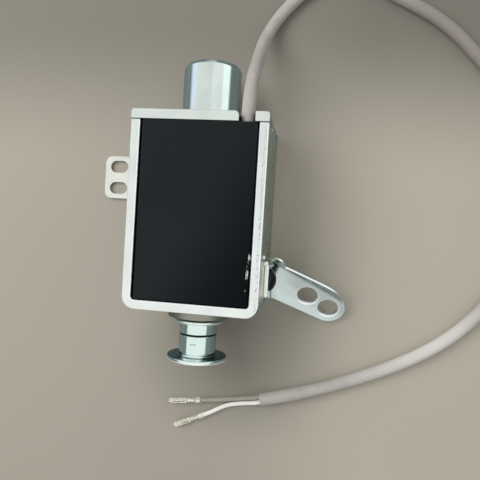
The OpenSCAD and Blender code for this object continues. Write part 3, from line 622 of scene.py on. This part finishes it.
def guarded(line, reach):
    # a point just inside both ends of each long stretch, so that its shading stays its own
    step = np.diff(line, axis=0)
    length = np.linalg.norm(step, axis=1, keepdims=True)
    near = np.where(length > 4 * reach, reach / np.maximum(length, 1e-9), 0.0)
    rows = np.stack([line[:-1], line[:-1] + near * step, line[1:] - near * step], 1)
    rows = np.concatenate([rows.reshape(-1, line.shape[1]), line[-1:]])
    keep = np.concatenate([[True], np.linalg.norm(np.diff(rows, axis=0), axis=1) > 1e-6])
    return rows[keep]


def turned(outline, sides, guard):
    # (r, h) turned about its own axis: (r cos a, r sin a, h)
    outline = guarded(outline, guard)
    a, r, h = evenAngles(sides), outline[:, :1], outline[:, 1:]
    return r * np.cos(a), r * np.sin(a), h + 0 * a, gridFaces(len(outline), sides)


def turnedPiece(name, outline, corner, body, finish, node, sides=128):
    # outline corners are (r, y) in mm; corner is one radius or one for each of them
    z, x, y, faces = turned(softCorners(outline, corner, 5), sides, 0.08)
    finishMesh(name, np.stack([x, y, axisHeight + z], -1) * mm, faces, body, finish, node)


def boxOf(node):
    # a node's lower and upper corner in mm
    return [np.array(corner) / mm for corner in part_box(node)]


def inMetres(values, start=0):
    # places in mm, counted from start
    return [(start + v) * mm for v in values]


def reachOf(node):
    # a turned node's radius and its low and high end along the axis, in mm
    low, high = boxOf(node)
    return high[0], low[1], high[1]


plungerKind = {"tipRadius": 6.0, "cone": 8.0, "chamfer": 2.0, "rodHole": 3.03, "rodDepth": 14.0, "edge": 0.3}


def plungerBar(k):
    bar, tip, end = reachOf("plunger")
    turnedPiece("plungerBar", [
        (0, tip + k["rodDepth"]), (k["rodHole"], tip + k["rodDepth"]), (k["rodHole"], tip),
        (k["tipRadius"], tip), (bar, tip + k["cone"]), (bar, end - k["chamfer"]), (bar - 1.25, end - 0.25),
        (bar - 1.8, end), (0, end)], k["edge"], "plunger_set", groundSteel, "plunger", 160)


plungerBar(plungerKind)

retainerKind = {"chamfer": 0.3, "bore": 8.03}


def retainerRing(k):
    r, low, high = reachOf("core_retainer")
    turnedPiece("retainerRing", [
        (k["bore"], high), (k["bore"], low), (r - k["chamfer"], low), (r, low + k["chamfer"]), (r, high),
        (k["bore"], high)], [0, 0.1, 0.2, 0.2, 0.1, 0], "housing", shadedSteel, "core_retainer")


retainerRing(retainerKind)

cushionKind = {"bore": 3.4}


def cushionRing(k):
    r, low, high = reachOf("stop_cushion")
    turnedPiece("cushionRing", [(k["bore"], high), (k["bore"], low), (r, low), (r, high), (k["bore"], high)],
                [0, 0.1, 0.35, 0.35, 0], "housing", rubber, "stop_cushion")


cushionRing(cushionKind)

collarKind = {"barrel": 8.4, "flange": 1.6, "joint": 0.5, "bore": 3.03, "rim": 0.7, "root": 0.5,
              "jointLine": (0.62, 0.30), "satin": (-0.2, 0, 0.6, 0.85)}
barrelR = collarKind["barrel"]


def stopCollar(k):
    r, joint, top = reachOf("stop_collar")
    under = top - k["flange"]
    turnedPiece("stopCollar", [
        (k["bore"], top), (k["bore"], joint), (barrelR - k["joint"], joint), (barrelR, joint + k["joint"]),
        (barrelR, under), (r, under), (r, top), (k["bore"], top)],
        [0, 0.1, 0.15, 0.15, k["root"], k["rim"], k["rim"], 0], "plunger_set", turnedSteel, "stop_collar")
    # a dark line at the joint with the head, and a rougher lower rim with a painted highlight
    _, y, _ = turnedSteel.axes()
    line = y.step(*inMetres(k["jointLine"], joint))
    # painted highlight on the lower rim, which is also rougher
    rim = y.band(*inMetres(k["satin"], under))
    tone = turnedSteel.tint(rim, coolSteel, highlightWhite)
    turnedSteel.feed("Base Color", turnedSteel.tint(line * 0.92, tone, darkLine))
    turnedSteel.feed("Roughness", rim * 0.38 + turnedSteel.rough)


stopCollar(collarKind)

headKind = {"flange": 1.8, "joint": 0.5, "bore": 3.03, "cap": 3.0, "rim": 0.5, "root": 0.9,
            "jointLine": (-0.62, -0.30), "satin": (0.95, 0.65), "flangeShade": (-64.2, -63.9, -63.2, -61.5),
            "flangeShadeTone": (0.06, 0.12, 0.11), "unshaded": (4.0, 5.6), "darkMark": -3.8,
            "darkMarkHigh": (0.32, 0.12), "darkMarkWide": (1.5, 1.1), "darkMarkZ": (28, 29),
            "darkMarkTone": (0.16, 0.19, 0.19)}


def pushHead(k):
    r, low, top = reachOf("push_head")
    turnedPiece("pushHead", [
        (0, low + k["cap"]), (k["bore"], low + k["cap"]), (k["bore"], top), (barrelR - k["joint"], top),
        (barrelR, top - k["joint"]), (barrelR, low + k["flange"]), (r, low + k["flange"]), (r, low), (0, low)],
        [0, 0.1, 0.1, 0.15, 0.15, k["root"], k["rim"], k["rim"], 0], "plunger_set", headSteel, "push_head")
    # painted shade on both sides of the flange's upper face, a rougher rim with a painted
    # highlight, a thin dark mark on the barrel's front and the dark joint line
    x, y, z = headSteel.axes()
    joint = reachOf("stop_collar")[1]
    # painted shade on the flange's upper face, left out in the middle
    flangeShade = y.band(*inMetres(k["flangeShade"])) * (x + 0.5 * mm).size().step(*inMetres(k["unshaded"]))
    # painted highlight on the rim
    rim = y.step(*inMetres(k["satin"], low))
    line = y.step(*inMetres(k["jointLine"], joint))
    # a thin dark mark on the front of the barrel
    darkMark = (y - (joint + k["darkMark"]) * mm).size().step(*inMetres(k["darkMarkHigh"]))
    darkMark = darkMark * x.size().step(*inMetres(k["darkMarkWide"])) * z.step(*inMetres(k["darkMarkZ"]))
    tone = headSteel.tint(flangeShade * 0.92, coolSteel, k["flangeShadeTone"])
    tone = headSteel.tint(darkMark * 0.75, headSteel.tint(rim, tone, highlightWhite), k["darkMarkTone"])
    headSteel.feed("Base Color", headSteel.tint(line * 0.92, tone, darkLine))
    headSteel.feed("Roughness", rim * 0.38 + headSteel.rough)


pushHead(headKind)
print("plunger and push end made")


def cleanRing(ring, gap=1e-3):
    # drops points that repeat the one before
    keep = np.linalg.norm(ring - np.roll(ring, 1, 0), axis=1) > gap
    return ring[keep]


def edgesAt(ring, value, *special):
    # one radius for each edge of a ring; special are (test of the edge's middle, radius)
    middle = (ring + np.roll(ring, -1, 0)) / 2
    radii = np.full(len(ring), float(value))
    for test, radius in special:
        radii[test(middle)] = radius
    return radii


def pairedAt(ring, values):
    # index pairs of the two ring points whose first coordinate is each of the values
    found = [np.flatnonzero(np.abs(ring[:, 0] - v) < 1e-4) for v in values]
    return [tuple(f[:2]) for f in found if len(f) == 2]


frameKind = {"strip": 4.0, "bend": 5.5, "edge": 0.55, "tenon": 14.0, "plateThick": 4.3, "tenonEdge": 1.6,
             "endEdge": 0.2, "sideEdge": 0.1, "legEdge": 0.8, "spigotHole": 8.03, "armScrewHole": 2.53,
             "footScrewHole": 2.03, "shearX": (27.0, 27.3, 28.0, 28.3), "shearZ": (42.5, 43.6),
             "shearTone": (0.22, 0.22, 0.22), "outerX": (28.93, 28.99), "outerTone": (0.72, 0.70, 0.56),
             "seam": (-0.50, -0.22)}
(_, webY, _), (halfW, frameTop, depth) = boxOf("u_frame")
thick, bend = frameKind["strip"], frameKind["bend"]
plateIn = frameTop - frameKind["plateThick"]
legRun = plateIn - webY - bend
bendRun, webRun = bend * np.pi / 2, 2 * (halfW - bend)
wholeRun = 2 * (legRun + bendRun) + webRun
armScrewAt = (-27.6, 21.07)
footScrewsAt = [(11.5, 11.75), (22.5, 11.75)]
seamY = boxOf("end_plate")[0][1]
seamZ = (40.5, 42.5)


def bentFrame(k):
    steps = np.concatenate([[-0.3], np.linspace(0, bendRun, 13), [bendRun + 0.3]])
    stops = np.concatenate([legRun + steps, wholeRun - legRun - bendRun + steps])
    tenonLow, tenonHigh = (depth - k["tenon"]) / 2, (depth + k["tenon"]) / 2
    out = k["plateThick"]
    ring = np.concatenate([
        [(0, 0)], np.c_[stops, 0 * stops],
        [(wholeRun, 0), (wholeRun, tenonLow), (wholeRun + out, tenonLow), (wholeRun + out, tenonHigh),
         (wholeRun, tenonHigh), (wholeRun, depth)],
        np.c_[stops[::-1], 0 * stops + depth],
        [(0, depth), (0, tenonHigh), (-out, tenonHigh), (-out, tenonLow), (0, tenonLow)]])
    endEdge = lambda m: (m[:, 0] < -out + 0.01) | (m[:, 0] > wholeRun + out - 0.01)
    sideEdge = lambda m: ((m[:, 0] < -0.01) | (m[:, 0] > wholeRun + 0.01)) & ~endEdge(m)
    legEdge = lambda m: (np.abs(m[:, 0]) < 0.01) | (np.abs(m[:, 0] - wholeRun) < 0.01)
    onSides = [(sideEdge, k["sideEdge"]), (legEdge, k["legEdge"])]
    lowEdge = edgesAt(ring, k["edge"], (endEdge, k["tenonEdge"]), *onSides)
    highEdge = edgesAt(ring, k["edge"], (endEdge, k["endEdge"]), *onSides)
    holes = [circleOf((wholeRun / 2, depth / 2), k["spigotHole"], 72),
             circleOf((wholeRun - plateIn + armScrewAt[0], armScrewAt[1]), k["armScrewHole"], 32)]
    holes += [circleOf((plateIn - y, z), k["footScrewHole"], 32) for y, z in footScrewsAt]
    points, faces = sheet(ring, holes, thick, lowEdge, highEdge, ties=pairedAt(ring, stops))
    # down the left leg, a quarter circle, along the web, a quarter circle, up the right leg:
    # on a bend the place is its centre + (bend - n) (cos, sin) of the angle run / bend
    s, t, n = points.T
    a1 = np.clip((s - legRun) / bend, 0, np.pi / 2)
    a2 = np.clip((s - (wholeRun - legRun - bendRun)) / bend, 0, np.pi / 2)
    web = np.clip(s - legRun - bendRun, 0, webRun)
    inner = halfW - bend
    x = -inner + web - (bend - n) * np.cos(a1) * (a2 <= 0) + (bend - n) * np.sin(a2)
    y = webY + bend - (bend - n) * np.where(a2 > 0, np.cos(a2), np.sin(a1))
    y += np.maximum(legRun - s, 0) + np.maximum(s - (wholeRun - legRun), 0)
    # rim marks the rounded edges, where frameMarks paints highlights
    rounded = np.minimum(n, thick - n)
    rim = np.where((rounded > 1e-3) & (rounded < k["edge"] - 0.03), 1.0, 0.0)
    finishMesh("bentFrame", np.stack([x, y, t], -1) * mm, faces, "housing", zinc, "u_frame", rim=rim)


def frameMarks(k):
    # torn marks of the shear along the right leg's front, a duller and warmer outer face on
    # that leg, painted highlights on the rims, and painted shade in the seam below the end plate
    x, y, z = zinc.axes()
    torn = zinc.noise(0.00045, 3.0, (1, 0.6, 1), 0.7).step(0.53, 0.60)
    torn = torn * x.band(*inMetres(k["shearX"])) * z.step(*inMetres(k["shearZ"]))
    outer = x.step(*inMetres(k["outerX"]))
    # painted shade in the seam under the end plate
    seam = y.step(*inMetres(k["seam"], seamY)) * z.step(*inMetres(seamZ))
    # painted highlights on the rounded rims
    rim = zinc.rim()
    tone = zinc.tint(outer, zinc.tone, k["outerTone"])
    tone = zinc.tint(rim, zinc.tint(torn * 0.75, tone, k["shearTone"]), highlightWhite)
    zinc.feed("Base Color", zinc.tint(seam * 0.85, tone, seamShade))
    zinc.feed("Roughness", rim * 0.2 + zinc.rough)
    zinc.feed("Metallic", 1 - outer * 0.3)


bentFrame(frameKind)
frameMarks(frameKind)

plateKind = {"hole": 13.62, "notchX": 19.8, "notchWide": 6.8, "notchDeep": 9.6, "edge": 0.45, "endEdge": 1.6,
             "notchEdge": 2.2, "backEdge": 0.15, "holeEdge": (0.1, 0.5), "fit": 0.03, "seam": (0.30, 0.10),
             "inside": (3.56, 3.42), "insideZ": (33.8, 34.2, 43.0, 43.6), "notchShadeTone": (0.03, 0.03, 0.03)}


def endPlate(k):
    (_, low, _), (_, high, _) = boxOf("end_plate")
    notchR, middle, fit = k["notchWide"] / 2, depth / 2, k["fit"]
    notchLow = depth - k["notchDeep"] + notchR
    notch = notchR * around(np.linspace(0, -np.pi, 25)) + [k["notchX"], notchLow]
    cutHalf = frameKind["tenon"] / 2 + fit
    cutX, cutLow, cutHigh = halfW - thick - fit, middle - cutHalf, middle + cutHalf
    ring = cleanRing(np.concatenate([
        [(-halfW, 0), (halfW, 0), (halfW, cutLow), (cutX, cutLow), (cutX, cutHigh), (halfW, cutHigh),
         (halfW, depth), (k["notchX"] + notchR, depth)], notch,
        [(k["notchX"] - notchR, notchLow + v) for v in (0.6, 1.2, 1.8, 2.4)],
        [(k["notchX"] - notchR, depth), (-halfW, depth), (-halfW, cutHigh), (-cutX, cutHigh),
         (-cutX, cutLow), (-halfW, cutLow)]]))
    ends = lambda m: np.abs(m[:, 0]) > halfW - 0.01
    cuts = lambda m: (np.abs(m[:, 1] - middle) < cutHalf + fit) & (np.abs(m[:, 0]) > cutX - 1) & ~ends(m)
    highEdge = edgesAt(ring, k["edge"], (ends, k["endEdge"]), (cuts, 0.1))
    # the left side of the notch: its radius grows with the height above the half circle
    halfway = (ring + np.roll(ring, -1, 0)) / 2
    side = (np.abs(halfway[:, 0] - k["notchX"] + notchR) < 0.01) & (halfway[:, 1] > notchLow)
    rise = np.clip((halfway[:, 1] - notchLow) / 2.4, 0, 1)
    highEdge[side] = np.round(k["edge"] + (k["notchEdge"] - k["edge"]) * rise[side], 3)
    points, faces = sheet(ring, [circleOf((0, middle), k["hole"], 96)], high - low, k["backEdge"],
                          highEdge, k["holeEdge"])
    placed = np.stack([points[:, 0], low + points[:, 2], points[:, 1]], -1)
    finishMesh("endPlate", placed * mm, faces, "housing", zincAcross, "end_plate")


def plateMarks(k):
    # painted shade in the seam above the legs, and painted shade inside the notch
    x, y, z = zincAcross.axes()
    seam = y.step(*inMetres(k["seam"], seamY)) * z.step(*inMetres(seamZ))
    # painted shade inside the notch
    inNotch = (x - k["notchX"] * mm).size().step(*inMetres(k["inside"])) * z.band(*inMetres(k["insideZ"]))
    tone = zincAcross.tint(inNotch * 0.93, zincAcross.tone, k["notchShadeTone"])
    zincAcross.feed("Base Color", zincAcross.tint(seam * 0.85, tone, seamShade))


endPlate(plateKind)
plateMarks(plateKind)

blockKind = {"round": 1.8, "sink": 0.4, "bore": 20.63, "webEdge": 1.0, "plateEdge": 0.12,
             "boreEdge": (0.05, 0.05)}


def coilBlock(k):
    (_, low, _), (half, high, top) = boxOf("coil_block")
    top -= k["sink"]
    ring = cleanRing(ringOf(2 * half, top, k["round"], 6, (0, top / 2)))
    points, faces = sheet(ring, [circleOf((0, depth / 2), k["bore"], 96)], high - low, k["webEdge"],
                          k["plateEdge"], k["boreEdge"])
    placed = np.stack([points[:, 0], low + points[:, 2], points[:, 1]], -1)
    finishMesh("coilBlock", placed * mm, faces, "housing", resin, "coil_block")


coilBlock(blockKind)
print("frame, end plate and block made")

armKind = {"thick": 2.0, "tilt": math.radians(30), "bend": 0.8, "lowY": 47.2, "lowZ": 3.0, "baseV": 11.2,
           "hole": (27.1, 7.9), "holeGap": 11.7, "holeSlant": math.radians(33), "holeR": 4.5, "tipR": 8.0,
           "noseR": 16.5, "foldV": 30.8, "foldR": 6.8, "curveIn": 0.9, "lipRise": 1.3,
           "lipBend": math.radians(42), "lipRun": 4.0, "lipThin": 0.5, "gussetR": 3.2, "gussetX": 3.5,
           "gussetV": 2.2, "baseZ": 26.5, "baseLean": 2.8, "tabW": 1.7, "tabL": 5.5, "tabShift": 2.8,
           "relief": 1.0, "edge": 0.42, "holeEdge": 0.85, "litTone": (0.90, 1.0, 0.96),
           "shadeTone": (0.42, 0.47, 0.46), "screwHole": 2.75, "highlight": (1.2, 0.6)}
armCos, armSin = math.cos(armKind["tilt"]), math.sin(armKind["tilt"])
armHole = np.array(armKind["hole"])
armInHole = armHole + armKind["holeGap"] * around(math.pi - armKind["holeSlant"])


def touching(p, c, r, side):
    # the angle of the line from p that touches the circle, and where it touches
    d = c - np.asarray(p)
    a = math.atan2(d[1], d[0]) + side * math.asin(r / np.linalg.norm(d))
    return a, c + side * r * np.array([-math.sin(a), math.cos(a)])


def armBracket(k):
    c, s = armCos, armSin
    onArm = lambda y, z: ((y + k["lowY"]) * c + (z - k["lowZ"]) * s, (z - k["lowZ"]) * c - (y + k["lowY"]) * s)
    offY = lambda v, n: v * c - n * s - k["lowY"]
    nose = armHole + [k["tipR"] - k["noseR"], 0]
    b = k["bend"]
    _, lowPoint = touching((b, k["baseV"]), armHole, k["tipR"], -1)
    topStart = np.array([b, k["foldV"] + k["lipRise"]])
    topA, topPoint = touching(topStart, nose, k["noseR"], 1)
    foldA, foldPoint = touching((b, k["foldV"]), armHole, k["foldR"], 1)
    along = around(foldA)
    across = np.array([-along[1], along[0]])

    # distance q beyond the fold: w . across - foldR up to the hole, |w| - foldR round it,
    # fading out at the arm's tip
    def beyond(p):
        w = p - armHole
        run, side, r = w @ along, w @ across, np.linalg.norm(w, axis=-1)
        angle = np.degrees(np.arctan2(w[..., 1], w[..., 0]))
        fade = np.clip((angle + 10) / 26, 0, 1)
        fade = fade * fade * (3 - 2 * fade)
        start = k["foldR"] - k["curveIn"]
        q = np.where(run < 0, side, r * fade + start * (1 - fade)) - start
        return np.maximum(q, 0)

    # height of the lip: its slope grows as 3u^2 - 2u^3 with u = q / lipRun, then stays
    def lift(p):
        q, run = beyond(p), k["lipRun"]
        u = np.minimum(q / run, 1)
        return math.tan(k["lipBend"]) * (run * (u ** 3 - u ** 4 / 2) + np.maximum(q - run, 0))

    def slope(p, h=0.02):
        dx = (lift(p + [h, 0]) - lift(p - [h, 0])) / (2 * h)
        dy = (lift(p + [0, h]) - lift(p - [0, h])) / (2 * h)
        return dx, dy

    # the floor's and the lip's outline, seen square to the arm
    a1 = np.linspace(math.atan2(*(lowPoint - armHole)[::-1]), 0, 26)
    a2 = np.linspace(0, math.atan2(*(topPoint - nose)[::-1]), 60)
    tip = armHole + k["tipR"] * around(a1)
    brow = nose + k["noseR"] * around(a2)
    right = k["gussetX"] + k["gussetR"]
    edgeY = lambda x: topPoint[1] + (x - topPoint[0]) * math.tan(topA)
    straight = np.linspace(topPoint, (right + 1.8, edgeY(right + 1.8)), 16)[1:]
    fillet = softCorners([straight[-1], (right, edgeY(right)), (right, k["foldV"] + k["gussetV"])],
                         [0, 1.7, 0], 6)
    arch = k["gussetR"] * around(np.linspace(0, np.pi, 25)) + [k["gussetX"], k["foldV"] + k["gussetV"]]
    footV = k["foldV"] - k["relief"]
    gussetLeft = k["gussetX"] - k["gussetR"]
    edge = cleanRing(np.concatenate([tip, brow[1:], straight, fillet, arch[1:]]))

    # the lip is drawn thinner towards its edge. The underside edge keeps this outline, so the
    # upper one stands back by the thickness there times the slope's sine
    def thickAt(p):
        u = np.clip(beyond(p) / 2.5, 0, 1)
        return k["thick"] * (1 - k["lipThin"] * u * u * (3 - 2 * u))

    sunk = edge.copy()
    for _ in range(12):
        dx, dy = slope(sunk)
        steep = np.stack([dx, dy], -1) / np.sqrt(1 + dx ** 2 + dy ** 2)[:, None]
        sunk = 0.5 * sunk + 0.5 * (edge - thickAt(sunk)[:, None] * steep)
    turns = np.linspace(0, np.pi / 2, 7)
    bendS = b - b * turns
    footS = lambda z: bendS[-1] - (z - b)
    tabY = offY(footV, b) + k["tabShift"]
    corners = [(tabY, k["baseZ"]), (tabY, k["baseZ"] + k["tabL"]), (tabY - k["tabW"], k["baseZ"] + k["tabL"]),
               (tabY - k["tabW"], k["baseZ"]), (offY(k["baseV"], b) + k["baseLean"], k["baseZ"])]
    foot = [(footS(z), v) for v, z in (onArm(*p) for p in corners)]
    foot = softCorners([(bendS[-1], footV), *foot, (bendS[-1], k["baseV"])],
                       [0, 0.8, 0.5, 0.5, 0.3, 1.0, 0], 5)
    ring = cleanRing(np.concatenate([
        sunk, [(gussetLeft, k["foldV"] + 0.05), (b + 0.25, k["foldV"] - 0.05), (b + 0.25, footV)],
        np.c_[bendS, np.full(7, footV)], foot, np.c_[bendS[::-1], np.full(7, k["baseV"])]]), 5e-3)
    screwV, screwZ = onArm(*armScrewAt)
    holes = [circleOf(armHole, k["holeR"], 64), circleOf(armInHole, k["holeR"], 64),
             circleOf((footS(screwZ), screwV), k["screwHole"], 40)]

    # loose points in rows beside the fold, so that the curve has its own facets
    run = np.linspace(-np.linalg.norm(foldPoint - (b, k["foldV"])), 0, 40)
    q = np.array([-1.5, -0.9, -0.5, -0.1, 0.3, 0.7, 1.1, 1.5, 2.0, 3.0, 4.0, 5.0])
    rows = armHole + run[:, None, None] * along + (k["foldR"] + q)[None, :, None] * across
    a4 = np.linspace(foldA + np.pi / 2, -0.3, 40)[1:]
    fan = armHole + (k["foldR"] + q)[None, :, None] * around(a4)[:, None]
    loose = np.concatenate([rows.reshape(-1, 2), fan.reshape(-1, 2)])
    margin = k["edge"] + 0.3
    loose = loose[within(loose, [ring + inwards(ring, margin)])]
    for h in (armHole, armInHole):
        loose = loose[np.linalg.norm(loose - h, axis=1) > k["holeR"] + k["holeEdge"] + 0.25]
    points, faces = sheet(ring, holes, k["thick"], k["edge"], k["edge"], (0.4, k["holeEdge"]),
                          ties=pairedAt(ring, bendS), inner=loose)

    # folded: the foot turns up round the bend, the lip rises, and n goes along the normal
    flat, n = points[:, :2], points[:, 2:]
    foots = ((flat[:, 0] < b) & (flat[:, 1] < footV + 0.1)) | (flat[:, 0] < 0.1)
    phi = np.clip((b - flat[:, 0]) / b, 0, np.pi / 2) * foots
    extra = np.maximum(bendS[-1] - flat[:, 0], 0) * foots
    dx, dy = slope(flat)
    up = np.stack([-dx, -dy, np.ones(len(flat))], -1)
    up /= np.linalg.norm(up, axis=1, keepdims=True)
    top = np.stack([np.where(foots, b - b * np.sin(phi), flat[:, 0]), flat[:, 1],
                    np.where(foots, b - b * np.cos(phi) + extra, lift(flat))], -1)
    up = np.where(foots[:, None], np.stack([np.sin(phi), 0 * phi, np.cos(phi)], -1), up)
    local = top - (1 - n / k["thick"]) * np.where(foots, k["thick"], thickAt(flat))[:, None] * up
    placed = np.stack([halfW + k["thick"] + local[:, 0], local[:, 1] * c - local[:, 2] * s - k["lowY"],
                       local[:, 1] * s + local[:, 2] * c + k["lowZ"]], -1)
    # 0 on the faces, 1 on the upper roundings, less on the walls below them; the finish paints highlights by it
    height = points[:, 2]
    onFace = (height < 1e-3) | (height > k["thick"] - 1e-3)
    rim = np.where(onFace, 0.0, np.where(height > k["thick"] - 0.9, 1.0, 0.4))
    finishMesh("armBracket", placed * mm, faces, "housing", zincArm, "arm_bracket", rim=rim)


def armMarks(k):
    # in the arm's own axes, run out from the frame and v up its slope: painted light towards the lower
    # edge, painted shade below the lip, and painted highlights on the rims and round the holes
    x, y, z = zincArm.axes()
    run = x - (halfW + k["thick"]) * mm
    v = (y + k["lowY"] * mm) * armCos + (z - k["lowZ"] * mm) * armSin
    rim = zincArm.rim()
    # painted highlights on the rims and round the holes
    highlight = rim
    for hole in (armHole, armInHole):
        fromHole = ((run - hole[0] * mm) ** 2 + (v - hole[1] * mm) ** 2) ** 0.5
        highlight = highlight + fromHole.step(*inMetres(k["highlight"], k["holeR"]))
    highlight = highlight.maths("MINIMUM", highlight, 1.0)
    # painted light towards the lower edge
    armLit = (v + run * 0.56).step(0.0215, 0.0155) * run.step(0.0015, 0.0035)
    # painted shade below the lip
    shade = (v + run * 0.62).step(0.0225, 0.0275) * run.step(0.004, 0.012) * (1 - rim)
    tone = zincArm.tint(armLit * 0.55, zincArm.tone, k["litTone"])
    tone = zincArm.tint(shade * 0.5, tone, k["shadeTone"])
    zincArm.feed("Base Color", zincArm.tint(highlight, tone, highlightWhite))
    zincArm.feed("Roughness", highlight * 0.24 + zincArm.rough)


armBracket(armKind)
armMarks(armKind)

earKind = {"thick": 2.0, "bend": 1.5, "round": 4.1, "edge": 0.28, "slot": (9.0, 5.8), "slotX": -50.6,
           "slotY": (11.6, 22.4), "screwHole": 2.25, "holeEdge": (0.2, 0.3), "footRound": 0.7}


def earBracket(k):
    (x0, y0, _), (_, y1, footTop) = boxOf("ear_bracket")
    face = -halfW - k["thick"]
    bendX = face - k["bend"]
    arcEnd = bendX + k["bend"] * np.pi / 2
    endS = arcEnd + footTop - k["thick"] - k["bend"]
    stops = np.concatenate([[bendX - 0.3], np.linspace(bendX, arcEnd, 9), [arcEnd + 0.3]])
    farEnd = softCorners([(bendX - 2, y1), (x0, y1), (x0, y0), (bendX - 2, y0)],
                         [0, k["round"], k["round"], 0], 10)
    footEnd = softCorners([(arcEnd + 2, y0), (endS, y0), (endS, y1), (arcEnd + 2, y1)],
                          [0, k["footRound"], k["footRound"], 0], 4)
    ring = cleanRing(np.concatenate([farEnd, np.c_[stops, 0 * stops + y0], footEnd,
                                     np.c_[stops[::-1], 0 * stops + y1]]))
    holes = [slotOf((k["slotX"], y), *k["slot"], 16) for y in k["slotY"]]
    holes += [circleOf((arcEnd + z - k["thick"] - k["bend"], y), k["screwHole"], 32) for y, z in footScrewsAt]
    points, faces = sheet(ring, holes, k["thick"], k["edge"], k["edge"], k["holeEdge"], pairedAt(ring, stops))
    # flat, then a quarter circle whose middle lies over the upper face, then straight up
    s, t, n = points.T
    phi = np.clip((s - bendX) / k["bend"], 0, np.pi / 2)
    r = k["bend"] + k["thick"] - n
    x = np.minimum(s, bendX) + r * np.sin(phi)
    z = k["thick"] + k["bend"] - r * np.cos(phi) + np.maximum(s - arcEnd, 0)
    finishMesh("earBracket", np.stack([x, t, z], -1) * mm, faces, "housing", creamZinc, "ear_bracket")


earBracket(earKind)
print("arm and ear made")


def headed(kind, sides=72):
    # screw along its own axis: rows of (radius at angle a, height). The key is a hexagon,
    # radius w / cos(((a + 30) mod 60) - 30) in degrees
    a = evenAngles(sides)
    hexagon = 1 / np.cos(np.mod(a + np.pi / 6, np.pi / 3) - np.pi / 6)
    headR, tall, w = kind["head"], kind["tall"], kind["key"] / 2
    rim = tall / 4
    domeR = (headR ** 2 + (tall - rim) ** 2) / (2 * (tall - rim))
    height = lambda r: tall - domeR + np.sqrt(domeR ** 2 - r ** 2)
    rows = [(0, -kind["long"]), (kind["shank"] - 0.3, -kind["long"]), (kind["shank"], 0.3 - kind["long"]),
            (kind["shank"], 0), (headR - 0.2, 0), (headR - 0.06, 0.06), (headR, 0.2), (headR, rim - 0.1)]
    rows += [(r, height(r)) for r in headR * np.sin(np.linspace(1.42, 0.1, 12)) if r > w * 1.3]
    rows = [(np.full(sides, float(r)), h) for r, h in rows]
    rows += [(hexagon * (w + 0.14), height(w * 1.08 + 0.14)), (hexagon * w, height(w * 1.08) - 0.16),
             (hexagon * w, tall - kind["deep"]), (np.full(sides, w * 0.6), tall - kind["deep"] - 0.05),
             (np.zeros(sides), tall - kind["deep"] - 0.3)]
    r = np.stack([row for row, _ in rows])
    h = np.array([h for _, h in rows])[:, None] + 0 * r
    return r * np.cos(a), r * np.sin(a), h, gridFaces(len(rows), sides)


armScrewKind = {"head": 5.0, "tall": 3.2, "key": 3.0, "deep": 1.4, "shank": 2.5, "long": 5.9}
footScrewKind = {"head": 3.6, "tall": 2.2, "key": 2.5, "deep": 1.4, "shank": 2.0, "long": 5.9}


def armScrew():
    u, v, h, faces = headed(armScrewKind)
    placed = np.stack([halfW + armKind["thick"] + h, armScrewAt[0] + u, armScrewAt[1] + v], -1)
    finishMesh("armScrew", placed * mm, faces, "housing", blackOxide, "arm_screw")


def footScrews():
    u, v, h, faces = headed(footScrewKind, 60)
    screws = [(np.stack([-halfW - earKind["thick"] - h, y + u, z + v], -1).reshape(-1, 3), faces)
              for y, z in footScrewsAt]
    points, faces = joined(*screws)
    finishMesh("footScrews", points * mm, faces, "housing", screwZinc, "foot_screws")


def locatingPin():
    (x0, y0, z0), (x1, y1, z1) = boxOf("locating_pin")
    y, z, r = (y0 + y1) / 2, (z0 + z1) / 2, (z1 - z0) / 2
    u, v, h, faces = turned(softCorners([(0, x0), (r, x0), (r, x1), (0, x1)], [0, 0.1, 0.75, 0], 6), 40, 0.05)
    finishMesh("locatingPin", np.stack([h, y + u, z + v], -1) * mm, faces, "housing",
               zincArm, "locating_pin")


def crossPin():
    # its ends are flush with the barrel
    (x0, y0, _), (x1, y1, _) = boxOf("head_pin")
    x, y, r = (x0 + x1) / 2, (y0 + y1) / 2, (x1 - x0) / 2
    end = barrelR - 0.03
    outline = softCorners([(0, -end), (r, -end), (r, end), (0, end)], [0, 0.3, 0.3, 0], 5)
    u, v, h, faces = turned(outline, 40, 0.05)
    finishMesh("crossPin", np.stack([x + u, y + v, axisHeight + h], -1) * mm, faces,
               "plunger_set", headSteel, "head_pin")


armScrew()
footScrews()
locatingPin()
crossPin()
print("screws and pins made")
